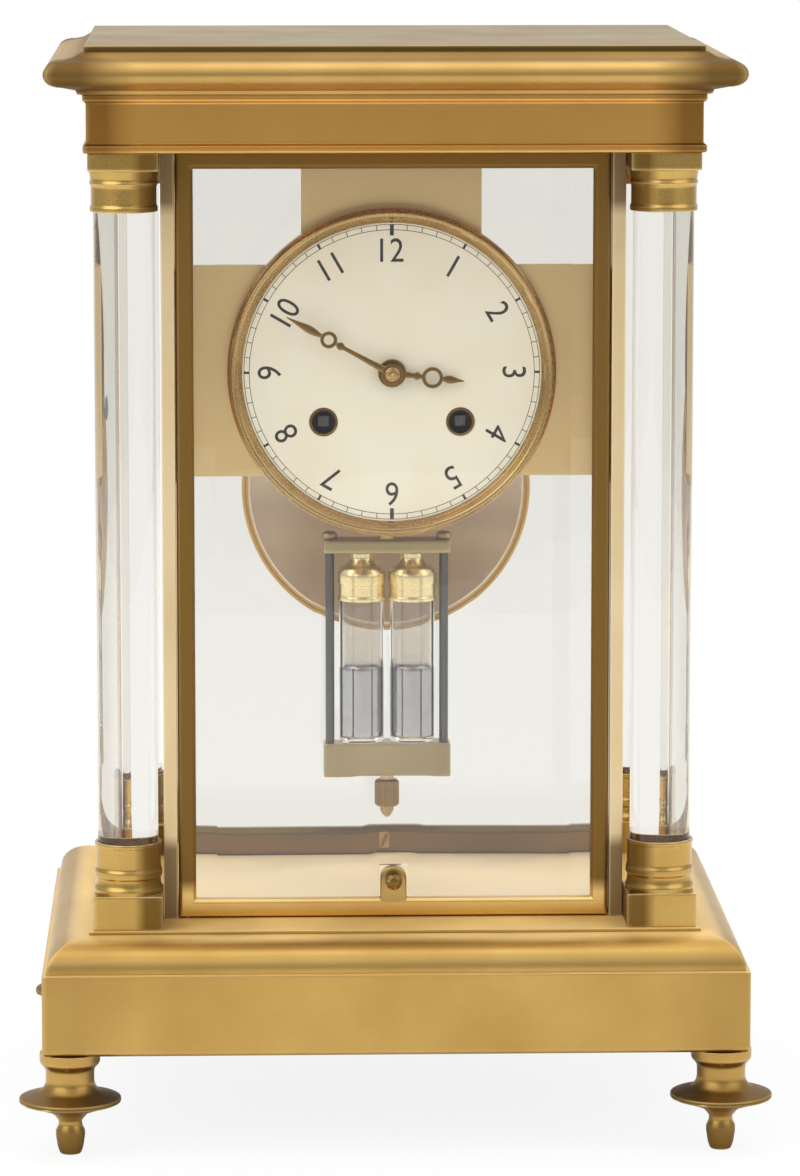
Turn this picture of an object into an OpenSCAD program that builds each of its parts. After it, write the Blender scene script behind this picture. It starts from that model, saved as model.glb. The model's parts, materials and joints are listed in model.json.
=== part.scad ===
// Crystal regulator clock: a glazed brass case with glass corner columns, a round
// bell-striking movement and a two-jar mercury pendulum.
// Millimetres, +Z up, the front faces -Y, the origin is under the middle of the feet.

/* [Feet] */
// Height of a turned foot, from the table to the plinth
foot_h = 29; // [22:0.5:36]
// Radius of the foot's thin flange
foot_flange_r = 14.3; // [11:0.1:17]
// Height of the flange's edge above the table
foot_flange_z = 15.5; // [13:0.5:18]
// Radius of the foot's neck
foot_neck_r = 7; // [5:0.1:9]
// Radius of the foot's peg, which stands on the table
foot_peg_r = 4.6; // [3:0.1:6]
// Distance from the plinth's sides to a foot's centre
foot_inset = 7.5; // [6:0.1:10]
// Radius of the threaded stud on top of a foot
foot_stud_r = 2.5; // [1.5:0.1:3]
// Length of that stud
foot_stud_l = 14; // [8:0.5:20]

/* [Plinth] */
// How far the plinth block stands out from the platform above it
plinth_step = 13; // [8:0.5:20]
// Height of the plinth block's straight sides
plinth_h = 23; // [16:0.5:32]
// Height of the rounded shoulder above them
shoulder_h = 10; // [7:0.5:14]
// Thickness of the cast plinth's walls and top
plinth_wall = 4; // [3:0.1:6]
// Thickness of the sheet that closes the plinth underneath
bottom_t = 1.5; // [1:0.1:2.5]
// Thickness of the polished floor plate inside the case
floor_t = 1.2; // [0.8:0.1:2]

/* [Columns] */
// Distance from the platform's edges to a column's centre
column_inset = 11; // [10.8:0.1:14]
// Radius of a glass column
column_r = 8.5; // [6.5:0.1:9.5]
// Height of a column's brass base
column_base_h = 24; // [20:0.5:30]
// Height of a column's brass capital
capital_h = 16.6; // [14:0.2:22]
// How far the square blocks of base and capital stand out past the glass
block_edge = 1.3; // [1.3:0.1:3]
// How deep the glass stands in base and capital
column_seat = 5; // [3:0.5:7]
// Clearance of the glass in base and capital
column_fit = 0.1; // [0.05:0.01:0.2]

/* [Glazed frame] */
// Height of the glazed case, from the plinth to the frieze
case_h = 218; // [200:1:250]
// Gap between a column's block and the post beside it
post_gap = 0.2; // [0.1:0.1:4]
// Distance from the platform's front edge back to the posts
case_recess = 17.5; // [14:0.5:24]
// Space between the bell and the rear door
rear_clear = 3.2; // [2.6:0.1:8]
// Width of a corner post, seen from the front
post_w = 3.8; // [3.4:0.1:4.4]
// Depth of a corner post, seen from the side
post_d = 8; // [7:0.1:10]
// Height of the side rails
side_rail_h = 5; // [4:0.1:8]
// Thickness of a side glass
side_glass_t = 2; // [1.5:0.1:2.4]
// How deep the side glass stands in its grooves
groove_d = 2; // [1:0.1:3]
// Clearance of glass in its grooves
glass_fit = 0.1; // [0.05:0.01:0.2]

/* [Doors] */
// Thickness of a door frame
door_t = 4.6; // [4:0.1:5]
// Clearance round a door
door_gap = 0.3; // [0.2:0.05:0.5]
// How far a door stands back from the faces of the posts
door_set = 0.2; // [0:0.05:0.6]
// Width of a door's stiles
stile_w = 4.9; // [4.6:0.1:7]
// Height of the front door's rails
front_rail_h = 5.2; // [4.5:0.1:8]
// Height of the rear door's rails
rear_rail_h = 9; // [6:0.1:12]
// Thickness of a door's glass
pane_t = 2.4; // [2:0.1:3]
// Thickness of that glass at its bevelled edge
pane_edge_t = 1; // [0.6:0.1:1.6]
// Width of the bevel that shows
bevel_w = 8; // [4:0.5:12]
// How deep the glass stands in the door frame
pane_seat = 1.4; // [1:0.1:1.6]
// Radius of a hinge pin
pin_r = 1; // [0.7:0.05:1.3]
// Length of a hinge pin in the door
pin_l = 4; // [3:0.1:4.5]
// Running clearance of pins and shafts
run_fit = 0.05; // [0.02:0.01:0.1]
// Radius of a door knob
knob_r = 2.4; // [2:0.1:4]
// Height of the front knob above the floor
knob_up = 10.8; // [8:0.1:14]

/* [Entablature] */
// Width of the frieze, and of the platform that the columns stand on
frieze_w = 172; // [160:1:200]
// Height of the frieze
frieze_h = 16; // [12:0.5:24]
// Thickness of the frieze's walls
frieze_wall = 3; // [2:0.1:5]
// Thickness of the ceiling over the case
ceiling_t = 2; // [1.5:0.1:4]
// How far the cornice's nose stands out from the frieze
overhang = 10.5; // [7:0.1:14]
// Height of the cornice
cornice_h = 12; // [10:0.5:16]
// How far the flat top stands above the cornice
top_step = 1.5; // [1:0.1:3]

/* [Dial and hands] */
// Distance from the ceiling down to the dial's centre
dial_drop = 64; // [56:0.5:70]
// Radius of the enamel dial
dial_r = 43.5; // [40:0.1:47]
// Thickness of the enamel dial
dial_t = 1.2; // [0.8:0.1:1.6]
// Distance from the front plate to the dial's face
dial_stand = 6.5; // [6.5:0.1:7.5]
// How far the brass bezel reaches past the dial's edge
bezel_w = 3; // [2.6:0.1:5]
// How far the bezel laps over the dial
bezel_lap = 1.2; // [0.8:0.1:2.4]
// Distance of a winding hole from the dial's centre line
wind_x = 19.35; // [18.5:0.05:20]
// Distance of a winding hole below the dial's centre
wind_down = 14; // [13:0.1:15]
// Radius of a winding hole
wind_hole_r = 3.4; // [2.6:0.1:3.8]
// How far a winding square stands behind the dial's face
square_sink = 1.6; // [0.3:0.1:2.4]
// Length of the minute hand
minute_hand_l = 34; // [28:0.5:38]
// Length of the hour hand
hour_hand_l = 20.5; // [17:0.5:26]
// Minute hand at rest, in degrees clockwise from twelve
minute_rest = 298.5; // [0:0.5:359.5]
// Hour hand at rest, in degrees clockwise from twelve
hour_rest = 96.5; // [0:0.5:359.5]
// Thickness of a hand
hand_t = 0.7; // [0.5:0.05:0.9]

/* [Movement] */
// Radius of the movement's plates
plate_r = 42.5; // [42:0.1:43.5]
// Thickness of a plate
plate_t = 2; // [1.5:0.1:2.5]
// Distance between the plates
plate_gap = 33; // [33:0.5:35]
// Distance from the middle of the case to the front plate's face
front_plate_y = 26.5; // [26:0.1:27]
// Radius of a stout arbor
arbor_r = 0.9; // [0.7:0.05:1]
// Radius of an arbor with fine leaves
fine_arbor_r = 0.6; // [0.5:0.02:0.64]
// Radius of a pivot
pivot_r = 0.45; // [0.35:0.05:0.5]
// Radius of a winding arbor
wind_arbor_r = 2.2; // [1.8:0.1:2.3]
// Thickness of a train wheel
wheel_t = 1.2; // [0.8:0.1:1.4]
// Distance from the escape wheel's rim to the pallet arbor's centre
pallet_gap = 1.95; // [1.9:0.05:3]
// Radius of the escape wheel
escape_r = 9; // [8:0.1:9.2]
// Height of the seat plate's side wings
seat_wing_h = 60; // [40:1:70]
// Width of the seat plate's tongue
seat_tongue_w = 51; // [30:1:60]
// Thickness of the seat plate
seat_t = 2; // [1.5:0.1:2]

/* [Bell and hammer] */
// Radius of the bell's mouth
bell_r = 42; // [38:0.5:43]
// Depth of the bell
bell_depth = 16; // [13:0.5:16]
// Thickness of the bell's wall
bell_t = 1.5; // [1:0.1:2]
// Distance of the bell's centre below the dial's centre
bell_down = 40; // [38:0.5:44]
// Distance from the pendulum's plane to the bell's mouth
bell_gap = 8; // [7.6:0.1:12]
// Radius of the hammer's head
hammer_r = 3.6; // [3:0.1:4.4]

/* [Pendulum] */
// Distance from the back plate to the pendulum's plane
pendulum_gap = 5.5; // [5:0.1:9]
// Radius of the pendulum's rod
rod_r = 1.2; // [0.9:0.05:1.3]
// Height of the pendulum's base bar above the floor
bob_up = 30; // [18:0.5:50]
// Height of the base bar
base_bar_h = 10; // [6:0.5:12]
// Height of a glass jar
jar_h = 48; // [40:0.5:54]
// Radius of a glass jar
jar_r = 6.6; // [5:0.1:6.8]
// Thickness of a jar's wall
jar_wall = 0.9; // [0.6:0.1:1.4]
// Depth of the mercury in a jar
mercury_h = 22; // [14:0.5:30]
// Distance from the pendulum's middle to a side rod
side_rod_x = 16.7; // [15.6:0.1:19]
// Radius of a side rod
side_rod_r = 1.3; // [0.9:0.1:1.5]
// Height of the pendulum's top bar
top_bar_h = 4; // [3:0.1:6]
// Radius of the rating nut
rating_nut_r = 3.6; // [3:0.1:6]
// Height of the rating nut
rating_nut_h = 8; // [4:0.1:9]

/* [Hidden] */
$fn = 64;

// Colours
BRASS = [0.72, 0.56, 0.30];
DARK_BRASS = [0.55, 0.44, 0.27];
GLASS = [0.86, 0.92, 0.92, 0.4];
STEEL = [0.55, 0.56, 0.58];
ENAMEL = [0.91, 0.88, 0.77];
QUICKSILVER = [0.68, 0.68, 0.70];

// Heights
floor_z = foot_h + plinth_h + shoulder_h;
column_z0 = floor_z + column_base_h;
ceiling_z = floor_z + case_h;
column_z1 = ceiling_z - capital_h;
cornice_z = ceiling_z + frieze_h;
top_z = cornice_z + cornice_h + top_step;
dial_z = ceiling_z - dial_drop;

// Depths of the movement, front to back
front_face = -front_plate_y;
front_in = front_face + plate_t;
back_in = front_in + plate_gap;
back_face = back_in + plate_t;
dial_front = front_face - dial_stand;
dial_back = dial_front + dial_t;
seat_front = front_face - seat_t;
bezel_r = dial_r + bezel_w;
bezel_in_r = dial_r - bezel_lap;
pendulum_y = back_face + pendulum_gap;
bell_y = pendulum_y + bell_gap;
bell_apex = bell_y + bell_depth;

// Plan sizes
column_block = 2 * (column_r + block_edge);
column_x = frieze_w / 2 - column_inset;
case_w = 2 * (column_x - column_block / 2 - post_gap);
case_d = 2 * (bell_apex + rear_clear + door_t + door_set);
frieze_d = case_d + 2 * case_recess;
column_y = frieze_d / 2 - column_inset;
platform_w = frieze_w;
platform_d = frieze_d;
plinth_w = platform_w + 2 * plinth_step;
plinth_d = platform_d + 2 * plinth_step;
cornice_w = frieze_w + 2 * overhang;
hollow_w = frieze_w - 2 * frieze_wall - 2;
hollow_d = frieze_d - 2 * frieze_wall - 2;
top_land = 1.5;
top_seat_h = 3;
top_fit = 0.1;
foot_x = plinth_w / 2 - foot_inset;
foot_y = plinth_d / 2 - foot_inset;
post_x = case_w / 2 - post_w / 2;
post_y = case_d / 2 - post_d / 2;
inner_w = case_w - 2 * post_w;
door_y = case_d / 2 - door_t / 2 - door_set;
hinge_x = inner_w / 2 - door_gap - door_t / 2;
door_w = inner_w - 2 * door_gap;
door_h = case_h - 2 * door_gap;
boss_r = foot_stud_r + 4;

// Tooth shapes as [distance from the pitch circle in modules, half width in pitches]
WHEEL_TOOTH = [[-1.25, 0.23], [0.1, 0.195], [0.95, 0.06]];
PINION_LEAF = [[-1.35, 0.13], [0.1, 0.165], [0.75, 0.05]];

// Teeth and modules of the trains
great_n = 80;
great_m = 0.42;
second_leaf_n = 10;
second_n = 70;
second_m = 0.36;
centre_leaf_n = 10;
centre_n = 80;
centre_m = 0.3;
third_leaf_n = 8;
third_n = 96;
third_m = 0.23;
escape_leaf_n = 8;
escape_n = 40;
cannon_n = 14;
minute_n = 42;
cannon_m = 0.3;
minute_leaf_n = 10;
hour_n = 40;
pin_wheel_n = 64;
pin_wheel_m = 0.3;
gathering_leaf_n = 8;
gathering_n = 56;
gathering_m = 0.26;
fly_leaf_n = 8;
ratchet_n = 24;
ratchet_r = 7;
ratchet_root_r = ratchet_r - 0.9;

// Distance between two arbors in mesh
function reach(n1, n2, m) = (n1 + n2) * m / 2;
// A point at a distance and an angle from another
function from(p, d, a) = p + d * [cos(a), sin(a)];
// Point at distance rp from p and rq from q, left of the line from p to q
function meet(p, rp, q, rq) =
    let (d = norm(q - p), u = (q - p) / d, a = (rp * rp - rq * rq + d * d) / (2 * d))
    p + a * u + sqrt(rp * rp - a * a) * [-u[1], u[0]];
// Angle of a tooth of gear b that meshes with gear a, which has a tooth at angle fa
function in_mesh(pa, na, fa, pb, nb) =
    let (t = atan2(pb[1] - pa[1], pb[0] - pa[0]))
    t + 180 + 180 / nb - (fa - t) * na / nb;

// Arbors, as seen from the front, from the dial's centre
great_reach = reach(great_n, second_leaf_n, great_m);
second_reach = reach(second_n, centre_leaf_n, second_m);
C = [0, 0];
G1 = [wind_x, -wind_down];
G2 = meet(C, second_reach, G1, great_reach);
G3 = from(C, reach(centre_n, third_leaf_n, centre_m), 95);
escape_reach = reach(third_n, escape_leaf_n, third_m);
G4 = [0, G3[1] + sqrt(escape_reach * escape_reach - G3[0] * G3[0])];
pallet_up = G4[1] + escape_r + pallet_gap;
PALLET = [0, pallet_up];
motion_reach = reach(cannon_n, minute_n, cannon_m);
minute_m = 2 * motion_reach / (minute_leaf_n + hour_n);
MW = from(C, motion_reach, 60);
S1 = [-wind_x, -wind_down];
S2 = from(S1, great_reach, 97);
S3 = from(S2, second_reach, 72);
S4 = from(S3, reach(pin_wheel_n, gathering_leaf_n, pin_wheel_m), 68);
S5 = from(S4, reach(gathering_n, fly_leaf_n, gathering_m), 150);
hammer_clear = 3.15;
HAMMER = from(S2, second_n * second_m / 2 + hammer_clear, 160.5);
PILLARS = [[31.5, 22], [-31.5, 22], [9, -38], [-9, -38]];
going_click_at = G1 + [9, 6];
strike_click_at = S1 + [-9, 6];
DIAL_FEET = [from(C, 31, 60), from(C, 31, 120), from(C, 31, 270)];

// Places of the wheels between the plates, as the front side of each level
drum_gap = 2.5;
drum_l = 13;
great_t = 2;
drum_y = front_in + drum_gap;
great_y = drum_y + drum_l;
level_gap = 3;
drum_r = great_n * great_m / 2 - 2.2 * great_m;
drum_wall = 1.2;
second_y = great_y + great_t + 2.4;
centre_y = second_y + level_gap;
third_y = centre_y + level_gap;
escape_y = third_y + level_gap;
leaf_over = 1;
end_shake = 0.3;
wheel_rim = 1.6;
pin_ring_r = pin_wheel_n * pin_wheel_m / 2 - 2.2;
hammer_pin_r = 0.5;
tail_y = centre_y - 1.2;
tail_t = 0.8;
motion_y = front_face - 1.7;
hour_y = front_face - 3.9;
motion_t = 1;
cannon_r = 1.8;
cannon_bore_r = 1;
hour_pipe_r = 2.6;
minute_hand_y = dial_front - 4.6;
hour_hand_y = dial_front - 2.2;
minute_stud_r = 0.8;
click_stud_r = 0.8;
click_gap = 0.35;
ratchet_t = 1.6;
ratchet_y = front_face - 2.2;
tenon_r = 1.6;
pillar_r = 2.5;

// Bell, hammer and pendulum places
bell_ball_r = (bell_r * bell_r + bell_depth * bell_depth) / (2 * bell_depth);
BELL = [0, -bell_down];
BELL_POST = [26, -28];
bell_post_r = 2.5;
bell_arm_y = bell_y + 1;
bell_arm_t = 2.6;
bell_stud_r = 2;
hammer_gap = 0.5;
HEAD = from(BELL, bell_r + hammer_r + hammer_gap, 150);
hammer_arm_y = back_face + 2.6;
hammer_arm_t = 1.4;
bend_z = dial_z + pallet_up;
base_bar_z = floor_z + bob_up;
jar_z = base_bar_z + base_bar_h;
jar_x = jar_r + 0.8;
jar_top = jar_z + jar_h;
jar_base_t = 1.5;
close_fit = 0.02;
spike_r = 2;
spike_l = 13;
rating_nut_gap = 1.5;
cap_over = 0.5;
cap_skirt = 6;
cap_h = 8;
top_bar_z = jar_top + cap_h;
leaf_t = 0.3;
leaf_w = 5;
bend_gap = 0.2;
frame_half = side_rod_x + 1.9;

// Draws an XZ outline as a plate between two depths
module plate_y(ya, yb) {
    translate([0, yb, 0]) rotate([90, 0, 0]) linear_extrude(yb - ya) children();
}

// Round bar along Y at an XZ place, between two depths
module bar_y(p, r, ya, yb) {
    translate([p[0], yb, p[1]]) rotate([90, 0, 0]) cylinder(r = r, h = yb - ya);
}

// Moves what is measured from the dial's centre to its height
module at_dial() {
    translate([0, 0, dial_z]) children();
}

// Copies a piece to the four corners
module corners(x, y) {
    for (sx = [-1, 1], sy = [-1, 1]) translate([sx * x, sy * y, 0]) children();
}

// A block of moulded outline: edge holds [inset, height] from the bottom up, and the
// two sections along and across the case cut each other to mitred corners
module moulded(w, d, edge) {
    intersection() {
        rotate([90, 0, 0]) linear_extrude(d, center = true) moulded_section(w, edge);
        rotate([90, 0, 90]) linear_extrude(w, center = true) moulded_section(d, edge);
    }
}

module moulded_section(w, edge) {
    last = len(edge) - 1;
    polygon(concat(
        [for (e = edge) [w / 2 - e[0], e[1]]],
        [for (i = [last:-1:0]) [edge[i][0] - w / 2, edge[i][1]]]));
}

// A toothed outline of n teeth, one of them at angle f
module teeth(n, m, f, tooth) {
    pitch = 360 / n;
    last = len(tooth) - 1;
    polygon([for (i = [0:n - 1])
        for (k = [0:2 * last + 1])
            let (t = tooth[k <= last ? k : 2 * last + 1 - k], side = k <= last ? -1 : 1)
            from([0, 0], n * m / 2 + t[0] * m, f + (i + side * t[1]) * pitch)]);
}

// A train wheel with its rim, four arms and hub
module wheel(n, m, f) {
    rim_r = n * m / 2 - 1.25 * m - wheel_rim;
    hub_r = 3;
    arm_w = 1.6;
    difference() {
        teeth(n, m, f, WHEEL_TOOTH);
        difference() {
            circle(rim_r);
            circle(hub_r);
            for (a = [0, 90]) rotate(a + f) square([2 * rim_r, arm_w], center = true);
        }
    }
}

// An arbor with its two pivots in the plates
module arbor(p, r) {
    bar_y(p, r, front_in + end_shake, back_in - end_shake);
    bar_y(p, pivot_r, front_face, back_face);
}

// A pinion of n leaves at p, round the level of the wheel that it meshes with
module pinion(p, n, wheel_p, wheel_n, m, y, t) {
    plate_y(y - leaf_over, y + t + leaf_over) translate(p)
        teeth(n, m, in_mesh(wheel_p, wheel_n, 0, p, n), PINION_LEAF);
}

// A wheel at its place on an arbor
module set_wheel(p, n, m, f, y) {
    plate_y(y, y + wheel_t) translate(p) wheel(n, m, f);
}

// Case

shoulder_edge = [for (a = [0:15:90]) [
    1.2 + ((plinth_w - platform_w) / 2 - 1.7) * (1 - cos(a)),
    plinth_h + 1 + (shoulder_h - 2) * sin(a)]];
plinth_edge = concat([[0.8, 0], [0, 0.8], [0, plinth_h], [1.2, plinth_h]], shoulder_edge,
    [[(plinth_w - platform_w) / 2, plinth_h + shoulder_h - 1],
     [(plinth_w - platform_w) / 2, plinth_h + shoulder_h]]);

module plinth() {
    inside_h = plinth_h + shoulder_h - plinth_wall;
    color(BRASS) translate([0, 0, foot_h]) difference() {
        moulded(plinth_w, plinth_d, plinth_edge);
        translate([0, 0, bottom_t / 2]) cube([plinth_w - 2 * plinth_wall,
            plinth_d - 2 * plinth_wall, bottom_t], center = true);
        difference() {
            translate([0, 0, plinth_h / 2]) cube([platform_w - 2 * plinth_wall,
                platform_d - 2 * plinth_wall, plinth_h], center = true);
            corners(foot_x, foot_y) cylinder(r = boss_r, h = plinth_h);
        }
        translate([0, 0, inside_h / 2]) cube([inner_w - 2 * plinth_wall,
            platform_d - 2 * boss_r - 2 * plinth_wall, inside_h], center = true);
        corners(foot_x, foot_y) translate([0, 0, -1])
            cylinder(r = foot_stud_r + run_fit, h = foot_stud_l + 1.5);
        for (sy = [-1, 1]) translate([-hinge_x, sy * door_y, inside_h])
            cylinder(r = pin_r + run_fit, h = plinth_wall + 1);
    }
}

module bottom_plate() {
    color(STEEL) translate([0, 0, foot_h]) difference() {
        translate([0, 0, bottom_t / 2]) cube([plinth_w - 2 * plinth_wall - 2 * door_gap,
            plinth_d - 2 * plinth_wall - 2 * door_gap, bottom_t], center = true);
        corners(foot_x, foot_y) translate([0, 0, -1])
            cylinder(r = foot_stud_r + 0.2, h = bottom_t + 2);
    }
}

module floor_plate() {
    color(BRASS) translate([0, 0, floor_z + floor_t / 2])
        cube([inner_w - 2 * door_gap, 2 * (door_y - door_t / 2) - 2 * door_gap, floor_t],
            center = true);
}

module foot() {
    flange_t = 2.4;
    waist_r = foot_peg_r - 1.2;
    z = foot_flange_z;
    rotate_extrude() polygon([
        [0, 0], [foot_peg_r - 1.4, 0], [foot_peg_r - 0.5, 0.12 * z], [foot_peg_r, 0.34 * z],
        [foot_peg_r, 0.42 * z], [waist_r, 0.54 * z], [waist_r, 0.62 * z],
        [waist_r + 1.8, 0.76 * z], [foot_flange_r - 2.4, foot_flange_z - flange_t / 2],
        [foot_flange_r, foot_flange_z - 0.4], [foot_flange_r, foot_flange_z + 0.4],
        [foot_flange_r - 2.4, foot_flange_z + flange_t / 2],
        [foot_neck_r + 1, foot_flange_z + flange_t],
        [foot_neck_r, foot_flange_z + flange_t + 2], [foot_neck_r, foot_h - 4],
        [foot_neck_r + 1.5, foot_h - 2.5], [foot_neck_r + 1.5, foot_h],
        [foot_stud_r, foot_h], [foot_stud_r, foot_h + foot_stud_l],
        [0, foot_h + foot_stud_l]]);
}

module feet() {
    color(BRASS) corners(foot_x, foot_y) foot();
}

module column_base() {
    block_h = column_base_h * 0.4;
    difference() {
        union() {
            translate([0, 0, block_h / 2])
                cube([column_block, column_block, block_h], center = true);
            rotate_extrude() polygon([
                [0, block_h], [column_r + 1.2, block_h], [column_r + 1.25, block_h + 1],
                [column_r + 0.7, block_h + 2.2], [column_r + 0.5, block_h + 4],
                [column_r + 1, block_h + 5], [column_r + 1, block_h + 6.4],
                [column_r + 0.7, block_h + 7.2], [column_r + 0.7, column_base_h - 1],
                [column_r + 0.9, column_base_h], [0, column_base_h]]);
        }
        translate([0, 0, column_base_h - column_seat])
            cylinder(r = column_r + column_fit, h = column_seat + 1);
    }
}

module column_bases() {
    color(BRASS) translate([0, 0, floor_z]) corners(column_x, column_y) column_base();
}

module glass_columns() {
    color(GLASS) corners(column_x, column_y) translate([0, 0, column_z0 - column_seat])
        cylinder(r = column_r, h = column_z1 - column_z0 + 2 * column_seat);
}

module capital() {
    block_h = capital_h * 0.3;
    difference() {
        union() {
            rotate_extrude() polygon([
                [0, 0], [column_r + 0.9, 0], [column_r + 0.9, 1.2], [column_r + 0.6, 1.8],
                [column_r + 0.6, capital_h - block_h - 4.4],
                [column_r + 1.1, capital_h - block_h - 3.6],
                [column_r + 0.7, capital_h - block_h - 2.8],
                [column_r + 1.25, capital_h - block_h], [0, capital_h - block_h]]);
            translate([0, 0, capital_h - block_h / 2])
                cube([column_block, column_block, block_h], center = true);
        }
        translate([0, 0, -1]) cylinder(r = column_r + column_fit, h = column_seat + 1);
    }
}

module capitals() {
    color(BRASS) translate([0, 0, column_z1]) corners(column_x, column_y) capital();
}

module corner_posts() {
    slot = side_glass_t + 2 * glass_fit;
    color(BRASS) translate([0, 0, floor_z]) difference() {
        corners(post_x, post_y) translate([0, 0, case_h / 2])
            cube([post_w, post_d, case_h], center = true);
        for (sx = [-1, 1]) translate([sx * post_x, 0, case_h / 2])
            cube([slot, case_d - 2 * post_d + 2 * groove_d, case_h - 2], center = true);
    }
}

module side_rails() {
    run = case_d - 2 * post_d;
    slot = side_glass_t + 2 * glass_fit;
    color(BRASS) difference() {
        for (sx = [-1, 1], z = [floor_z, ceiling_z - side_rail_h])
            translate([sx * post_x - post_w / 2, -run / 2, z]) cube([post_w, run, side_rail_h]);
        for (sx = [-1, 1])
            translate([sx * post_x - slot / 2, -run, floor_z + side_rail_h - groove_d])
                cube([slot, 2 * run, case_h - 2 * side_rail_h + 2 * groove_d]);
    }
}

module side_glass(sx) {
    run = case_d - 2 * post_d + 2 * groove_d - 2 * glass_fit;
    height = case_h - 2 * side_rail_h + 2 * groove_d - 2 * glass_fit;
    color(GLASS) translate([sx * post_x, 0, floor_z + case_h / 2])
        cube([side_glass_t, run, height], center = true);
}

module side_glass_left() {
    side_glass(-1);
}

module side_glass_right() {
    side_glass(1);
}

module frieze() {
    inside_h = frieze_h - ceiling_t;
    edge = [[0.4, 0], [0, 0.4], [0, 2], [0.9, 2.6], [0.9, frieze_h - 2], [0, frieze_h - 1.4],
        [0, frieze_h]];
    color(BRASS) translate([0, 0, ceiling_z]) difference() {
        moulded(frieze_w, frieze_d, edge);
        translate([0, 0, ceiling_t + inside_h])
            cube([hollow_w, hollow_d, 2 * inside_h], center = true);
        for (sy = [-1, 1]) translate([-hinge_x, sy * door_y, -1])
            cylinder(r = pin_r + run_fit, h = ceiling_t + 1);
    }
}

nose_h = cornice_h * 0.58;
nose_edge = [for (a = [-75:15:75]) [
    overhang * 0.4 * (1 - cos(a)),
    cornice_h * 0.5 + nose_h / 2 * sin(a)]];
cornice_edge = concat([[overhang + 0.2, 0], [overhang - 1.4, 0.3],
    [overhang - 1.8, cornice_h * 0.12], [overhang * 0.42, cornice_h * 0.2]], nose_edge,
    [[overhang * 0.5, cornice_h * 0.8], [overhang * 0.78, cornice_h * 0.86],
     [overhang + 0.2, cornice_h]]);

module cornice() {
    color(BRASS) translate([0, 0, cornice_z]) difference() {
        moulded(cornice_w, frieze_d + 2 * overhang, cornice_edge);
        translate([0, 0, cornice_h / 2])
            cube([hollow_w, hollow_d, cornice_h + 2], center = true);
        translate([0, 0, cornice_h]) cube([frieze_w - 2 * top_land, frieze_d - 2 * top_land,
            2 * top_seat_h], center = true);
    }
}

module top_panel() {
    inset = top_land + top_fit;
    edge = 0.4;
    tongue_h = top_seat_h + top_step / 2;
    color(BRASS) translate([0, 0, cornice_z + cornice_h]) {
        translate([0, 0, tongue_h / 2 - top_seat_h])
            cube([frieze_w - 2 * inset, frieze_d - 2 * inset, tongue_h], center = true);
        moulded(frieze_w - 1, frieze_d - 1, [[0, 0], [0, top_step - edge], [edge, top_step]]);
    }
}

module hinge_pins() {
    color(STEEL) for (sy = [-1, 1]) translate([-hinge_x, sy * door_y, 0]) {
        translate([0, 0, floor_z - plinth_wall + 0.5])
            cylinder(r = pin_r, h = plinth_wall - 0.5 + pin_l);
        translate([0, 0, ceiling_z - pin_l]) cylinder(r = pin_r, h = pin_l + ceiling_t);
    }
}

// Doors

// Door seen from above: the hinge stile's edge is half round about its pins
module door_plan() {
    translate([-hinge_x, -door_t / 2]) square([door_w / 2 + hinge_x, door_t]);
    translate([-hinge_x, 0]) circle(door_t / 2);
}

// Door frame with its rails, grooved for the glass and bored for its pins
module door_frame(rail_h) {
    open_w = door_w - 2 * stile_w;
    open_h = door_h - 2 * rail_h;
    difference() {
        translate([0, 0, door_gap]) linear_extrude(door_h) door_plan();
        translate([0, 0, case_h / 2]) cube([open_w, 2 * door_t, open_h], center = true);
        translate([0, 0, case_h / 2]) cube([open_w + 2 * pane_seat, pane_edge_t + 2 * glass_fit,
            open_h + 2 * pane_seat], center = true);
        for (z = [0, case_h - door_gap - pin_l - 0.3]) translate([-hinge_x, 0, z])
            cylinder(r = pin_r + run_fit, h = door_gap + pin_l + 0.3);
    }
}

// Door glass, thinner along its edge, where the frame holds it, than inside its bevel
module door_pane(rail_h) {
    w = door_w - 2 * stile_w + 2 * pane_seat - 2 * glass_fit;
    h = door_h - 2 * rail_h + 2 * pane_seat - 2 * glass_fit;
    translate([0, 0, case_h / 2]) intersection() {
        linear_extrude(h, center = true) pane_section(w);
        rotate([0, -90, 0]) linear_extrude(w, center = true) pane_section(h);
    }
}

// Section of a bevelled pane, with its bevel outside
module pane_section(w) {
    e = pane_edge_t / 2;
    front = e - pane_t;
    seat = w / 2 - pane_seat;
    bevel = seat - bevel_w;
    polygon([[-w / 2, e], [-w / 2, -e], [-seat, -e], [-bevel, front], [bevel, front],
        [seat, -e], [w / 2, -e], [w / 2, e]]);
}

// Upright lug on a door's rail that carries the knob's spindle
module knob_lug(z) {
    translate([0, 0, z]) rotate([90, 0, 0])
        cylinder(r = knob_r + 1.3, h = door_t, center = true);
    translate([-knob_r - 1.3, -door_t / 2, door_gap])
        cube([2 * knob_r + 2.6, door_t, z - door_gap]);
}

spindle_r = 1.1;

module front_door_frame() {
    color(BRASS) translate([0, -door_y, floor_z]) difference() {
        union() {
            door_frame(front_rail_h);
            knob_lug(knob_up);
        }
        translate([0, 0, knob_up]) rotate([90, 0, 0])
            cylinder(r = spindle_r + run_fit, h = 2 * door_t, center = true);
    }
}

module front_glass() {
    notch_w = 2 * knob_r + 3.4;
    color(GLASS) translate([0, -door_y, floor_z]) difference() {
        door_pane(front_rail_h);
        translate([-notch_w / 2, -2 * pane_t, 0])
            cube([notch_w, 4 * pane_t, knob_up + knob_r + 1.8]);
    }
}

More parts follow.
